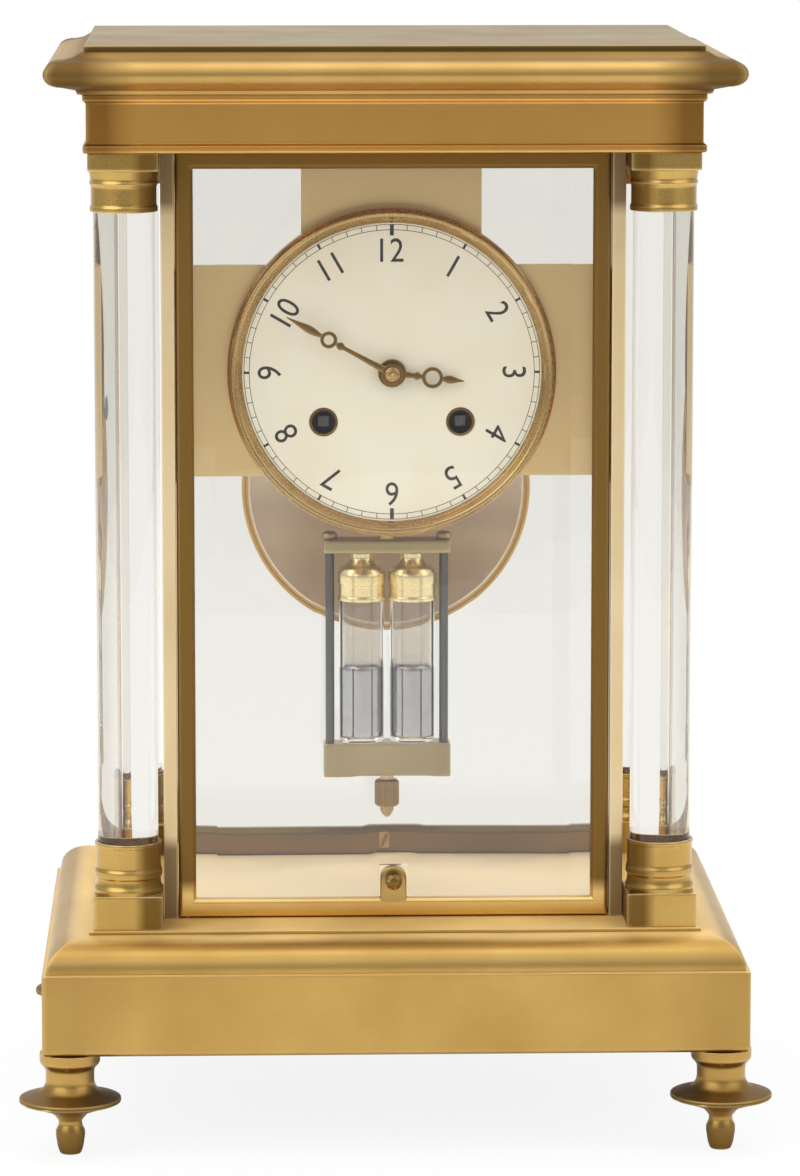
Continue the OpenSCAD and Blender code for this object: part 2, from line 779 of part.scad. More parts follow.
// Turned knob on its spindle, with the latch finger behind the frame
module latch(z, finger) {
    translate([0, 0, z]) rotate([90, 0, 0]) {
        translate([0, 0, -door_t / 2 - 1.4])
            cylinder(r = spindle_r, h = door_t + 2.4);
        translate([0, 0, door_t / 2 + 0.2]) rotate_extrude() polygon([
            [0, 0], [knob_r * 0.55, 0], [knob_r * 0.5, 1.2], [knob_r * 0.9, 1.9],
            [knob_r, 2.8], [knob_r * 0.9, 3.7], [knob_r * 0.5, 4.3], [0, 4.4]]);
        translate([0, 0, -door_t / 2 - 1.4]) linear_extrude(1.1) {
            circle(2.2);
            translate([-1.5, -finger]) square([3, finger]);
        }
    }
}

module front_latch() {
    color(DARK_BRASS) translate([0, -door_y, floor_z]) latch(knob_up, knob_up - floor_t - 1.6);
}

module rear_door_frame() {
    color(BRASS) translate([0, door_y, floor_z]) difference() {
        mirror([0, 1, 0]) door_frame(rear_rail_h);
        translate([0, 0, rear_rail_h / 2 + 1]) rotate([90, 0, 0])
            cylinder(r = spindle_r + run_fit, h = 2 * door_t, center = true);
    }
}

module rear_glass() {
    color(GLASS) translate([0, door_y, floor_z]) mirror([0, 1, 0]) door_pane(rear_rail_h);
}

module rear_latch() {
    z = rear_rail_h / 2 + 1;
    color(DARK_BRASS) translate([0, door_y, floor_z]) mirror([0, 1, 0])
        latch(z, z - floor_t - 1.6);
}

// Fixed pieces of the movement

seat_wing_x = inner_w / 2;
seat_flange_t = 1.6;
seat_hole_r = plate_r - 6;
seat_flange_y = -(door_y - door_t / 2) + 0.4;
seat_screw_z = seat_wing_h / 2 - 8;

module seat_plate() {
    color(BRASS) at_dial() difference() {
        union() {
            plate_y(seat_front, front_face) difference() {
                union() {
                    square([2 * seat_wing_x, seat_wing_h], center = true);
                    circle(plate_r);
                    translate([-seat_tongue_w / 2, 0])
                        square([seat_tongue_w, ceiling_z - dial_z]);
                }
                circle(seat_hole_r);
            }
            for (sx = [-1, 1]) translate([
                    sx * (seat_wing_x - seat_flange_t / 2), (seat_flange_y + front_face) / 2, 0])
                cube([seat_flange_t, front_face - seat_flange_y, seat_wing_h], center = true);
        }
        for (sz = [-1, 1])
            translate([0, seat_flange_y + 1.4, sz * seat_screw_z]) rotate([0, 90, 0])
                cylinder(r = 0.9 + run_fit, h = case_w, center = true);
    }
}

module seat_screws() {
    color(STEEL) at_dial() for (sx = [-1, 1], sz = [-1, 1])
        translate([sx * (seat_wing_x - seat_flange_t), seat_flange_y + 1.4, sz * seat_screw_z])
            rotate([0, -sx * 90, 0]) {
                translate([0, 0, -seat_flange_t]) cylinder(r = 0.9, h = seat_flange_t + 0.5);
                cylinder(r = 1.35, h = 1.2);
            }
}

train_pivots = [G2, G3, G4, S2, S3, S4, S5, HAMMER];

// A plate, with holes for the pivots, arbors and pillars
module plate_outline() {
    difference() {
        circle(plate_r);
        for (p = train_pivots) translate(p) circle(pivot_r + run_fit);
        for (p = PILLARS) translate(p) circle(tenon_r + run_fit);
    }
}

module front_plate() {
    color(BRASS) at_dial() {
        plate_y(front_face, front_in) difference() {
            plate_outline();
            circle(cannon_bore_r + 0.2 + run_fit);
            translate(PALLET) circle(pivot_r + run_fit);
            for (p = [G1, S1]) translate(p) circle(wind_arbor_r + run_fit);
        }
        bar_y(MW, minute_stud_r, hour_y - 0.3, front_face);
        for (p = [going_click_at, strike_click_at])
            bar_y(p, click_stud_r, ratchet_y - 0.3, front_face);
    }
}

module back_plate() {
    color(BRASS) at_dial() plate_y(back_in, back_face) difference() {
        plate_outline();
        circle(pivot_r + run_fit);
        translate(PALLET) circle(arbor_r + run_fit);
        translate(HAMMER) circle(arbor_r + run_fit);
        for (p = [G1, S1]) translate(p) circle(wind_arbor_r * 0.7 + run_fit);
    }
}

module pillars() {
    color(BRASS) at_dial() for (p = PILLARS) {
        bar_y(p, pillar_r, front_in, back_in);
        bar_y(p, tenon_r, front_face, back_face);
    }
}

module dial() {
    color(ENAMEL) at_dial() {
        plate_y(dial_front, dial_back) difference() {
            circle(dial_r);
            circle(hour_pipe_r + 0.5);
            for (p = [G1, S1]) translate(p) circle(wind_hole_r);
        }
        for (p = DIAL_FEET) bar_y(p, 1, dial_back, front_face);
    }
}

module bezel() {
    lip = 0.4;
    lip_r = dial_r + 0.3;
    color(BRASS) at_dial() rotate([90, 0, 0]) rotate_extrude() polygon([
        [bezel_in_r, -dial_front], [bezel_in_r, -dial_front + lip],
        [bezel_in_r + 0.8, -dial_front + 1.4], [bezel_r - 2.2, -dial_front + 3],
        [bezel_r - 1.2, -dial_front + 3.2], [bezel_r - 0.4, -dial_front + 2.6],
        [bezel_r, -dial_front + 1.4], [bezel_r, -seat_front], [lip_r, -seat_front],
        [lip_r, -dial_front]]);
}

module bell_stand() {
    reach_v = BELL_POST - BELL;
    side = [-reach_v[1], reach_v[0]] / norm(reach_v) * 2.4;
    color(BRASS) at_dial() {
        bar_y(BELL_POST, bell_post_r, back_face, bell_arm_y + bell_arm_t);
        plate_y(bell_arm_y, bell_arm_y + bell_arm_t) {
            polygon([BELL + side, BELL - side, BELL_POST - side, BELL_POST + side]);
            translate(BELL) circle(4);
            translate(BELL_POST) circle(3.4);
        }
        bar_y(BELL, 4, bell_arm_y, bell_apex - bell_t - 0.2);
        bar_y(BELL, bell_stud_r, bell_arm_y, bell_apex + 2.2);
    }
}

module bell() {
    color(DARK_BRASS) at_dial() translate([0, 0, -bell_down]) difference() {
        intersection() {
            translate([0, bell_apex - bell_ball_r, 0]) sphere(r = bell_ball_r);
            translate([0, bell_y + bell_depth, 0])
                cube([3 * bell_r, 2 * bell_depth, 3 * bell_r], center = true);
        }
        translate([0, bell_apex - bell_ball_r, 0]) sphere(r = bell_ball_r - bell_t);
        bar_y([0, 0], bell_stud_r + run_fit, bell_y, bell_apex + 1);
    }
}

module bell_nut() {
    color(BRASS) at_dial() translate([0, bell_apex + 0.1, -bell_down]) rotate([-90, 0, 0])
        difference() {
            rotate_extrude() polygon([[0, 0], [4, 0], [4, 1], [3.2, 1.8], [2.6, 2.2], [0, 2.2]]);
            translate([0, 0, -1]) cylinder(r = bell_stud_r + run_fit, h = 5);
        }
}

module suspension_block() {
    bottom = pallet_up + 3.2;
    color(BRASS) at_dial() {
        translate([-7, back_face, bottom]) cube([14, pendulum_y + 4 - back_face, 5]);
        translate([-leaf_t / 2, pendulum_y - leaf_w / 2, pallet_up + bend_gap])
            cube([leaf_t, leaf_w, bottom - pallet_up]);
    }
}

module hammer() {
    tail = from(HAMMER, norm(S3 - HAMMER) - pin_ring_r - hammer_pin_r - 0.8,
        atan2(S3[1] - HAMMER[1], S3[0] - HAMMER[0]));
    arm = HEAD - HAMMER;
    side = [-arm[1], arm[0]] / norm(arm);
    lift = tail - HAMMER;
    tail_side = [-lift[1], lift[0]] / norm(lift);
    color(STEEL) at_dial() {
        bar_y(HAMMER, pivot_r, front_face, front_in + 1);
        bar_y(HAMMER, arbor_r, front_in + end_shake, hammer_arm_y + hammer_arm_t);
        plate_y(tail_y, tail_y + tail_t) {
            translate(HAMMER) circle(2);
            polygon([HAMMER + tail_side * 1.2, HAMMER - tail_side * 1.2, tail - tail_side * 0.5,
                tail + tail_side * 0.5]);
        }
        plate_y(hammer_arm_y, hammer_arm_y + hammer_arm_t) {
            translate(HAMMER) circle(2.2);
            translate(HEAD) circle(2);
            polygon([HAMMER + side, HAMMER - side, HEAD - side, HEAD + side]);
        }
        bar_y(HEAD, 1.6, hammer_arm_y, bell_y + 1);
        bar_y(HEAD, hammer_r, bell_y + 0.5, bell_y + 7);
    }
}

// Going train and hands

// Spring barrel: a drum with the great wheel's teeth, turning on its winding arbor
module barrel(p) {
    difference() {
        union() {
            bar_y(p, drum_r, drum_y, great_y + great_t);
            plate_y(great_y, great_y + great_t) translate(p)
                teeth(great_n, great_m, 0, WHEEL_TOOTH);
        }
        bar_y(p, drum_r - drum_wall, drum_y + drum_wall, great_y - drum_wall);
        bar_y(p, wind_arbor_r + run_fit, drum_y - 1, great_y + great_t + 1);
    }
}

// Ratchet wheel's outline, its teeth leaning one way or the other
module ratchet(turn) {
    pitch = turn * 360 / ratchet_n;
    order = turn > 0 ? [0:ratchet_n - 1] : [ratchet_n - 1:-1:0];
    polygon([for (i = order) each turn > 0
        ? [from([0, 0], ratchet_r, i * pitch), from([0, 0], ratchet_root_r, (i + 0.85) * pitch)]
        : [from([0, 0], ratchet_root_r, (i + 0.85) * pitch), from([0, 0], ratchet_r, i * pitch)]]);
}

// Winding arbor with its hub in the drum, ratchet wheel and winding square
module winding_arbor(p, turn) {
    square_w = wind_arbor_r * 1.36;
    bar_y(p, wind_arbor_r, ratchet_y, great_y + great_t + 1);
    bar_y(p, wind_arbor_r * 0.7, ratchet_y, back_face);
    bar_y(p, wind_arbor_r + 1.6, drum_y + drum_wall + 0.4, great_y - drum_wall - 0.4);
    plate_y(ratchet_y, ratchet_y + ratchet_t) translate(p) ratchet(turn);
    plate_y(dial_front + square_sink, ratchet_y) translate(p) square(square_w, center = true);
}

// Click lever, its nose just clear of the ratchet wheel
module click(p, centre, sx) {
    nose = from(centre, ratchet_r + click_gap, 90 - sx * 28);
    upper = [p + [0, 1.4], nose + [0, 0.5]];
    lower = [nose, p - [0, 1.2]];
    plate_y(ratchet_y, ratchet_y + ratchet_t) difference() {
        union() {
            translate(p) circle(1.9);
            polygon(sx > 0 ? concat(upper, lower) : [lower[1], lower[0], upper[1], upper[0]]);
        }
        translate(p) circle(click_stud_r + run_fit);
    }
}

module going_barrel() {
    color(BRASS) at_dial() barrel(G1);
}

module going_arbor() {
    color(STEEL) at_dial() winding_arbor(G1, 1);
}

module going_click() {
    color(STEEL) at_dial() click(going_click_at, G1, 1);
}

module intermediate_wheel() {
    color(BRASS) at_dial() {
        arbor(G2, arbor_r);
        pinion(G2, second_leaf_n, G1, great_n, great_m, great_y, great_t);
        set_wheel(G2, second_n, second_m, 0, second_y);
    }
}

module centre_wheel() {
    nut_y = minute_hand_y - hand_t;
    color(BRASS) at_dial() {
        bar_y(C, arbor_r, centre_y, back_in - end_shake);
        bar_y(C, pivot_r, centre_y, back_face);
        bar_y(C, cannon_bore_r + 0.2, motion_y + motion_t + 0.5, centre_y + wheel_t);
        bar_y(C, cannon_bore_r, nut_y - 0.2, centre_y);
        bar_y(C, 0.6, nut_y - 1.6, centre_y);
        pinion(C, centre_leaf_n, G2, second_n, second_m, second_y, wheel_t);
        set_wheel(C, centre_n, centre_m, 0, centre_y);
    }
}

module cannon_pinion() {
    color(STEEL) at_dial() difference() {
        union() {
            plate_y(motion_y - 0.2, motion_y + motion_t + 0.2)
                teeth(cannon_n, cannon_m, 0, PINION_LEAF);
            bar_y(C, cannon_r, minute_hand_y - hand_t, motion_y);
        }
        bar_y(C, cannon_bore_r + close_fit, minute_hand_y - 5, motion_y + 5);
    }
}

module third_wheel() {
    color(BRASS) at_dial() {
        arbor(G3, fine_arbor_r);
        pinion(G3, third_leaf_n, C, centre_n, centre_m, centre_y, wheel_t);
        set_wheel(G3, third_n, third_m, 0, third_y);
    }
}

module escape_wheel() {
    rim_r = escape_r - 3;
    color(BRASS) at_dial() {
        arbor(G4, fine_arbor_r);
        pinion(G4, escape_leaf_n, G3, third_n, third_m, third_y, wheel_t);
        plate_y(escape_y, escape_y + wheel_t) translate(G4) difference() {
            polygon([for (i = [0:escape_n - 1]) each [
                from([0, 0], escape_r - 1.3, (i - 0.32) * 360 / escape_n),
                from([0, 0], escape_r, (i - 0.05) * 360 / escape_n),
                from([0, 0], escape_r, (i + 0.05) * 360 / escape_n),
                from([0, 0], escape_r - 1.3, (i + 0.2) * 360 / escape_n)]]);
            difference() {
                circle(rim_r);
                circle(2.2);
                for (a = [0, 90]) rotate(a) square([2 * rim_r, 1.2], center = true);
            }
        }
    }
}

// Anchor with its two pallets, its arbor and the crutch behind the back plate
module pallets() {
    nib_gap = 0.8;
    nib_a = 48;
    crutch_y = back_face + 0.7;
    crutch_t = 1;
    crutch_l = 30;
    crutch_end = pallet_up - crutch_l;
    fork_x = rod_r + 0.9;
    nib = from(G4, escape_r + nib_gap, 90 - nib_a);
    color(STEEL) at_dial() {
        bar_y(PALLET, pivot_r, front_face, front_in + 1);
        bar_y(PALLET, arbor_r, front_in + end_shake, crutch_y + crutch_t);
        plate_y(escape_y - 0.1, escape_y + wheel_t + 0.1) {
            translate(PALLET) circle(1.6);
            for (sx = [-1, 1]) polygon([
                [0, pallet_up + 1.6], [sx * (nib[0] + 1), nib[1] + 2.2],
                [sx * (nib[0] + 0.9), nib[1] + 0.8], [sx * nib[0], nib[1]],
                [sx * (nib[0] - 0.7), nib[1] + 1.7], [0, pallet_up - 1.2]]);
        }
        plate_y(crutch_y, crutch_y + crutch_t) {
            translate(PALLET) circle(2.4);
            translate([-1, crutch_end]) square([2, pallet_up - crutch_end]);
            translate([-fork_x - 0.6, crutch_end - 1.5]) square([2 * fork_x + 1.2, 3]);
        }
        for (sx = [-1, 1])
            bar_y([sx * fork_x, crutch_end], 0.6, crutch_y, pendulum_y + 2);
    }
}

module minute_wheel() {
    color(BRASS) at_dial() difference() {
        union() {
            plate_y(motion_y, motion_y + motion_t) translate(MW)
                teeth(minute_n, cannon_m, in_mesh(C, cannon_n, 0, MW, minute_n), WHEEL_TOOTH);
            plate_y(hour_y - 0.2, motion_y + motion_t) translate(MW)
                teeth(minute_leaf_n, minute_m, 0, PINION_LEAF);
        }
        bar_y(MW, minute_stud_r + run_fit, hour_y - 5, motion_y + 5);
    }
}

module hour_wheel() {
    color(BRASS) at_dial() difference() {
        union() {
            plate_y(hour_y, hour_y + motion_t)
                teeth(hour_n, minute_m, in_mesh(MW, minute_leaf_n, 0, C, hour_n), WHEEL_TOOTH);
            bar_y(C, hour_pipe_r, hour_hand_y - hand_t, hour_y + motion_t);
        }
        bar_y(C, cannon_r + run_fit, hour_hand_y - 5, hour_y + 5);
    }
}

// Pierced hand pointing up: a hub, a tapered stem, a ring and a leaf-shaped point
module hand(l, hub_r, bore_r, ring_at, ring_r) {
    ring_w = 0.95;
    difference() {
        union() {
            circle(hub_r);
            polygon([[-0.85, 0], [0.85, 0], [0.55, ring_at], [-0.55, ring_at]]);
            translate([0, ring_at]) circle(ring_r);
            translate([0, ring_at - ring_r - 1.4]) circle(1.15);
            polygon([[0.5, ring_at], [1.15, ring_at + ring_r + 1.6], [0.25, l], [-0.25, l],
                [-1.15, ring_at + ring_r + 1.6], [-0.5, ring_at]]);
        }
        circle(bore_r);
        translate([0, ring_at]) circle(ring_r - ring_w);
    }
}

module minute_hand() {
    color(DARK_BRASS) at_dial() plate_y(minute_hand_y - hand_t, minute_hand_y)
        rotate(-minute_rest) hand(minute_hand_l, 3, cannon_r + close_fit, minute_hand_l * 0.6, 2.4);
}

module hour_hand() {
    color(DARK_BRASS) at_dial() plate_y(hour_hand_y - hand_t, hour_hand_y)
        rotate(-hour_rest) hand(hour_hand_l, 4, hour_pipe_r + close_fit, hour_hand_l * 0.56, 3);
}

module hand_collet() {
    y = minute_hand_y - hand_t;
    color(BRASS) at_dial() translate([0, y, 0]) rotate([90, 0, 0]) difference() {
        rotate_extrude() polygon([[0, 0], [2.1, 0], [2, 0.7], [1.4, 1.4], [0, 1.4]]);
        translate([0, 0, -1]) cylinder(r = cannon_bore_r + close_fit, h = 1.25);
        translate([0, 0, -1]) cylinder(r = 0.62, h = 5);
    }
}

// Striking train

module strike_barrel() {
    color(BRASS) at_dial() barrel(S1);
}

module strike_arbor() {
    color(STEEL) at_dial() winding_arbor(S1, -1);
}

module strike_click() {
    color(STEEL) at_dial() click(strike_click_at, S1, -1);
}

module strike_second_wheel() {
    color(BRASS) at_dial() {
        arbor(S2, arbor_r);
        pinion(S2, second_leaf_n, S1, great_n, great_m, great_y, great_t);
        set_wheel(S2, second_n, second_m, 0, second_y);
    }
}

module strike_pin_wheel() {
    pin_n = 10;
    color(BRASS) at_dial() {
        arbor(S3, arbor_r);
        pinion(S3, centre_leaf_n, S2, second_n, second_m, second_y, wheel_t);
        set_wheel(S3, pin_wheel_n, pin_wheel_m, 0, centre_y);
        for (i = [0:pin_n - 1])
            bar_y(from(S3, pin_ring_r, i * 360 / pin_n), hammer_pin_r, centre_y - 1.4,
                centre_y + 0.5);
    }
}

module strike_gathering_wheel() {
    color(BRASS) at_dial() {
        arbor(S4, fine_arbor_r);
        pinion(S4, gathering_leaf_n, S3, pin_wheel_n, pin_wheel_m, centre_y, wheel_t);
        set_wheel(S4, gathering_n, gathering_m, 0, third_y);
    }
}

module strike_fly() {
    vane_r = 4;
    vane_l = 12;
    color(BRASS) at_dial() {
        arbor(S5, fine_arbor_r);
        pinion(S5, fly_leaf_n, S4, gathering_n, gathering_m, third_y, wheel_t);
        plate_y(front_in + 4, front_in + 4 + vane_l) translate(S5)
            square([2 * vane_r, 0.6], center = true);
        bar_y(S5, 1.4, front_in + 3, front_in + 5 + vane_l);
    }
}

// Pendulum

module pendulum_rod() {
    chop_h = 6;
    collar_h = 5;
    collar_r = 2.6;
    chop_top = bend_z - bend_gap - 1;
    color(BRASS) {
        translate([-leaf_t / 2, pendulum_y - leaf_w / 2, chop_top - 1])
            cube([leaf_t, leaf_w, bend_z - bend_gap - chop_top + 1]);
        translate([-1.5, pendulum_y - leaf_w / 2, chop_top - chop_h]) cube([3, leaf_w, chop_h]);
        translate([0, pendulum_y, top_bar_z + top_bar_h])
            cylinder(r = rod_r, h = chop_top - top_bar_z - top_bar_h - 1);
        translate([0, pendulum_y, top_bar_z + top_bar_h]) cylinder(r = collar_r, h = collar_h);
    }
}

module pendulum_frame() {
    bar_d = 8;
    color(BRASS) {
        translate([-frame_half, pendulum_y - bar_d / 2, base_bar_z])
            cube([2 * frame_half, bar_d, base_bar_h]);
        translate([-frame_half, pendulum_y - bar_d / 2, top_bar_z])
            cube([2 * frame_half, bar_d, top_bar_h]);
        for (sx = [-1, 1]) translate([sx * side_rod_x, pendulum_y, base_bar_z])
            cylinder(r = side_rod_r, h = top_bar_z + top_bar_h - base_bar_z);
        translate([0, pendulum_y, base_bar_z - spike_l]) cylinder(r = spike_r, h = spike_l + 1);
    }
}

module jars() {
    color(GLASS) for (sx = [-1, 1]) translate([sx * jar_x, pendulum_y, jar_z]) difference() {
        cylinder(r = jar_r, h = jar_h);
        translate([0, 0, jar_base_t]) cylinder(r = jar_r - jar_wall, h = jar_h);
    }
}

module mercury() {
    color(QUICKSILVER) for (sx = [-1, 1])
        translate([sx * jar_x, pendulum_y, jar_z + jar_base_t])
            cylinder(r = jar_r - jar_wall - close_fit, h = mercury_h);
}

module jar_caps() {
    h = top_bar_z - jar_top + cap_skirt;
    color(BRASS) for (sx = [-1, 1]) translate([sx * jar_x, pendulum_y, jar_top - cap_skirt])
        difference() {
            cylinder(r = jar_r + cap_over, h = h);
            translate([0, 0, -1]) cylinder(r = jar_r + 0.05, h = cap_skirt + 1);
        }
}

module rating_nut() {
    chamfer = 0.7;
    h = rating_nut_h;
    color(BRASS) translate([0, pendulum_y, base_bar_z - rating_nut_gap - h]) difference() {
        rotate_extrude() polygon([[0, 0], [rating_nut_r - chamfer, 0], [rating_nut_r, chamfer],
            [rating_nut_r, h - chamfer], [rating_nut_r - chamfer, h], [0, h]]);
        translate([0, 0, -1]) cylinder(r = spike_r + run_fit, h = h + 2);
    }
}

plinth();
bottom_plate();
floor_plate();
feet();
column_bases();
glass_columns();
capitals();
corner_posts();
side_rails();
side_glass_left();
side_glass_right();
frieze();
cornice();
top_panel();
hinge_pins();
front_door_frame();
front_glass();
front_latch();
rear_door_frame();
rear_glass();
rear_latch();
seat_plate();
seat_screws();
front_plate();
back_plate();
pillars();
dial();
bezel();
bell_stand();
bell();
bell_nut();
suspension_block();
hammer();
going_barrel();
going_arbor();
going_click();
intermediate_wheel();
centre_wheel();
cannon_pinion();
minute_hand();
hand_collet();
third_wheel();
escape_wheel();
pallets();
minute_wheel();
hour_wheel();
hour_hand();
strike_barrel();
strike_arbor();
strike_click();
strike_second_wheel();
strike_pin_wheel();
strike_gathering_wheel();
strike_fly();
pendulum_rod();
pendulum_frame();
jar_caps();
jars();
mercury();
rating_nut();
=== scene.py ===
import json

import bmesh
import bpy
import numpy as np
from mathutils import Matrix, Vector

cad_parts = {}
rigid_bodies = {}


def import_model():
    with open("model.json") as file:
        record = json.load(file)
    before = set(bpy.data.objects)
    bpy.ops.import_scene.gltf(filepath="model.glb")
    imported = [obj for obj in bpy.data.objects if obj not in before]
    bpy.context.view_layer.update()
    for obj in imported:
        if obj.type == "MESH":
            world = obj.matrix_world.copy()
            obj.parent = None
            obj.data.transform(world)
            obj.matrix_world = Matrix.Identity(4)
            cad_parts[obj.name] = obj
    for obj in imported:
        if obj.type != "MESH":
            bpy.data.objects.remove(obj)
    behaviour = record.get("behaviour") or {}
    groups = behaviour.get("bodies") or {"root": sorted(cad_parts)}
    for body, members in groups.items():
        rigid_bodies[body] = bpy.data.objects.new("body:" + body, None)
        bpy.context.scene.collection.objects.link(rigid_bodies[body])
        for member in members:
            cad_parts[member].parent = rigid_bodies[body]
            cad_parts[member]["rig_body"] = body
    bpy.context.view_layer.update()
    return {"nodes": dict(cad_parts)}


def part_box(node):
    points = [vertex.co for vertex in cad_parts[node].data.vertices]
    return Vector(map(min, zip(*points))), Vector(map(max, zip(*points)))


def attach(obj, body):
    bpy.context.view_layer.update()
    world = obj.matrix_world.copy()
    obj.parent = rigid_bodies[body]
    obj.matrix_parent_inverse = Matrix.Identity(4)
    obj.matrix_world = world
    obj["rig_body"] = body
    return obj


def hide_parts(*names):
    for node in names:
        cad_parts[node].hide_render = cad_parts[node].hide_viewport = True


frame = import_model()

# Feet: four turned feet of gilt brass, each with a peg on the table, a waist, a thin wide flange,
# a neck and a collar. They are cast, turned on the lathe and screwed into the plinth with a stud.
mm = 0.001


def softened(corners, steps=4, closed=False):
    """Line through corners given as [across, up, radius]: each corner becomes a parabola that starts
    and ends one radius away from it, with one more point beyond on each side."""
    corners = np.array(corners, float) * mm
    if not closed:
        corners[[0, -1], 2] = 0
    spots, radius = corners[:, :2], corners[:, 2:]
    sides = [np.roll(spots, turn, 0) - spots for turn in (1, -1)]
    shares = [radius / np.maximum(np.linalg.norm(side, axis=1, keepdims=True), 1e-9) for side in sides]
    start, end = (spots + side * np.minimum(share, 0.3) for side, share in zip(sides, shares))
    before, after = (spots + side * np.minimum(2.5 * share, 0.48) for side, share in zip(sides, shares))
    t = np.linspace(0, 1, steps)[:, None, None]
    bend = (1 - t) ** 2 * start + 2 * t * (1 - t) * spots + t**2 * end
    line = np.concatenate([before[None], bend, after[None]]).swapaxes(0, 1).reshape(-1, 2)
    gap = np.linalg.norm(line - np.roll(line, 1, 0), axis=1)
    gap[0] = gap[0] if closed else 1
    return line[gap > 1e-7]


def woven(points, closed=False):
    """Surface over a grid of points whose columns close in a ring, and whose rows do so too if closed.
    A row that is a single point becomes a pole."""
    rows, columns = points.shape[:2]
    number = np.arange(rows * columns).reshape(rows, columns)
    pole = np.ptp(points, axis=1).max(axis=1) < 1e-9
    number[pole] = number[pole][:, :1]
    lower = number if closed else number[:-1]
    upper = np.roll(number, -1, 0) if closed else number[1:]
    faces = np.stack([lower, np.roll(lower, -1, 1), np.roll(upper, -1, 1), upper], 2)
    used, faces = np.unique(faces, return_inverse=True)
    return points.reshape(-1, 3)[used], faces.reshape(-1, 4)


def turned(profile, sides=96, closed=False):
    """Shape turned on a lathe: each [radius, height] of the profile, from the bottom up, goes round the
    upright axis as radius times the cosine and sine of the angle."""
    angle = np.linspace(0, 2 * np.pi, sides, endpoint=False)
    around = np.stack([np.cos(angle), np.sin(angle), np.zeros(sides)], 1)
    return woven(profile[:, None, :1] * around + profile[:, None, 1:] * [0, 0, 1], closed)


def moved(shape, place):
    """Shape with its points shifted by a place in metres."""
    return shape[0] + np.array(place), shape[1]


def joined(*shapes):
    """One shape of several, with the numbers of their points carried on."""
    starts = np.cumsum([0] + [len(points) for points, _ in shapes])
    faces = [faces + start for (_, faces), start in zip(shapes, starts)]
    return np.vstack([points for points, _ in shapes]), np.vstack(faces)


def at_corners(shape, x, y):
    """Four copies of a shape, at both signs of x and y."""
    return joined(*[moved(shape, (sx * x, sy * y, 0)) for sx in (-1, 1) for sy in (-1, 1)])


def linked(name, data):
    """Object for its data, put into the scene."""
    made = bpy.data.objects.new(name, data)
    bpy.context.scene.collection.objects.link(made)
    return made


def shown(name, mesh, body, material, nodes, sharp=32):
    """Object for a mesh, smooth apart from edges above an angle, that rides on a body for CAD nodes."""
    mesh.shade_smooth()
    mesh.set_sharp_from_angle(angle=np.radians(sharp))
    mesh.materials.append(material)
    made = linked(name, mesh)
    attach(made, body)
    if nodes:
        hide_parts(*nodes)
    return made


def meshed(name, shape):
    """Mesh of a shape. A face that repeats a point at a pole becomes a triangle."""
    points, faces = shape
    first, last = faces[:, 0] == faces[:, 1], faces[:, 2] == faces[:, 3]
    polygons = faces[~first & ~last].tolist() + faces[first, 1:].tolist() + faces[last, :3].tolist()
    mesh = bpy.data.meshes.new(name)
    mesh.from_pydata(points.tolist(), [], polygons)
    return mesh


def piece(name, shape, body, material, *nodes, sharp=32):
    """Piece of the object from a shape."""
    return shown(name, meshed(name, shape), body, material, nodes, sharp)


def tint(red, green, blue):
    """Linear colour of an sRGB colour given from 0 to 255."""
    share = np.array([red, green, blue]) / 255
    linear = np.where(share <= 0.04045, share / 12.92, ((share + 0.055) / 1.055) ** 2.4)
    return (*linear, 1.0)


def feed(tree, socket, value):
    """Links another node's output to a socket, or sets the socket's own value."""
    if isinstance(value, bpy.types.NodeSocket):
        tree.links.new(value, socket)
    else:
        socket.default_value = value


def node(tree, kind, inputs, **settings):
    """Shader node of a kind with its settings, and with its inputs fed by name."""
    made = tree.nodes.new("ShaderNode" + kind)
    for name, value in settings.items():
        setattr(made, name, value)
    for name, value in inputs.items():
        feed(tree, made.inputs[name], value)
    return made


def here(tree):
    """Object coordinates, in metres."""
    return node(tree, "TexCoord", {}).outputs["Object"]


def mixed(tree, share, first, second, blend="MIX"):
    """Colour between two others by a share."""
    mix = node(tree, "Mix", {}, data_type="RGBA", blend_type=blend)
    for place, value in zip((0, 6, 7), (share, first, second)):
        feed(tree, mix.inputs[place], value)
    return mix.outputs[2]


def ranged(tree, value, low, high, to_low=0.0, to_high=1.0):
    """Value carried from one range to another and kept inside it."""
    limits = {"From Min": low, "From Max": high, "To Min": to_low, "To Max": to_high}
    return node(tree, "MapRange", {"Value": value, **limits}).outputs[0]


def worked(tree, operation, first, second, kind="Math"):
    """Result of a Math node on two values, or of a VectorMath node on two vectors."""
    made = node(tree, kind, {}, operation=operation)
    feed(tree, made.inputs[0], first)
    feed(tree, made.inputs[1], second)
    return made.outputs[0]


def noise(tree, place, scale, detail=3.0):
    """Noise over a place, with features of about 1 / scale metres."""
    made = node(tree, "TexNoise", {"Vector": place, "Scale": scale, "Detail": detail})
    return made.outputs["Fac"]


def bumped(tree, strength, height):
    """Normal of a relief 0.1 mm deep, from heights between 0 and 1."""
    return node(tree, "Bump", {"Strength": strength, "Distance": 0.1 * mm, "Height": height}).outputs[0]


def facing_up(tree):
    """How far the surface looks up: the upward part of its normal."""
    normal = node(tree, "TexCoord", {}).outputs["Normal"]
    return node(tree, "SeparateXYZ", {"Vector": normal}).outputs["Z"]


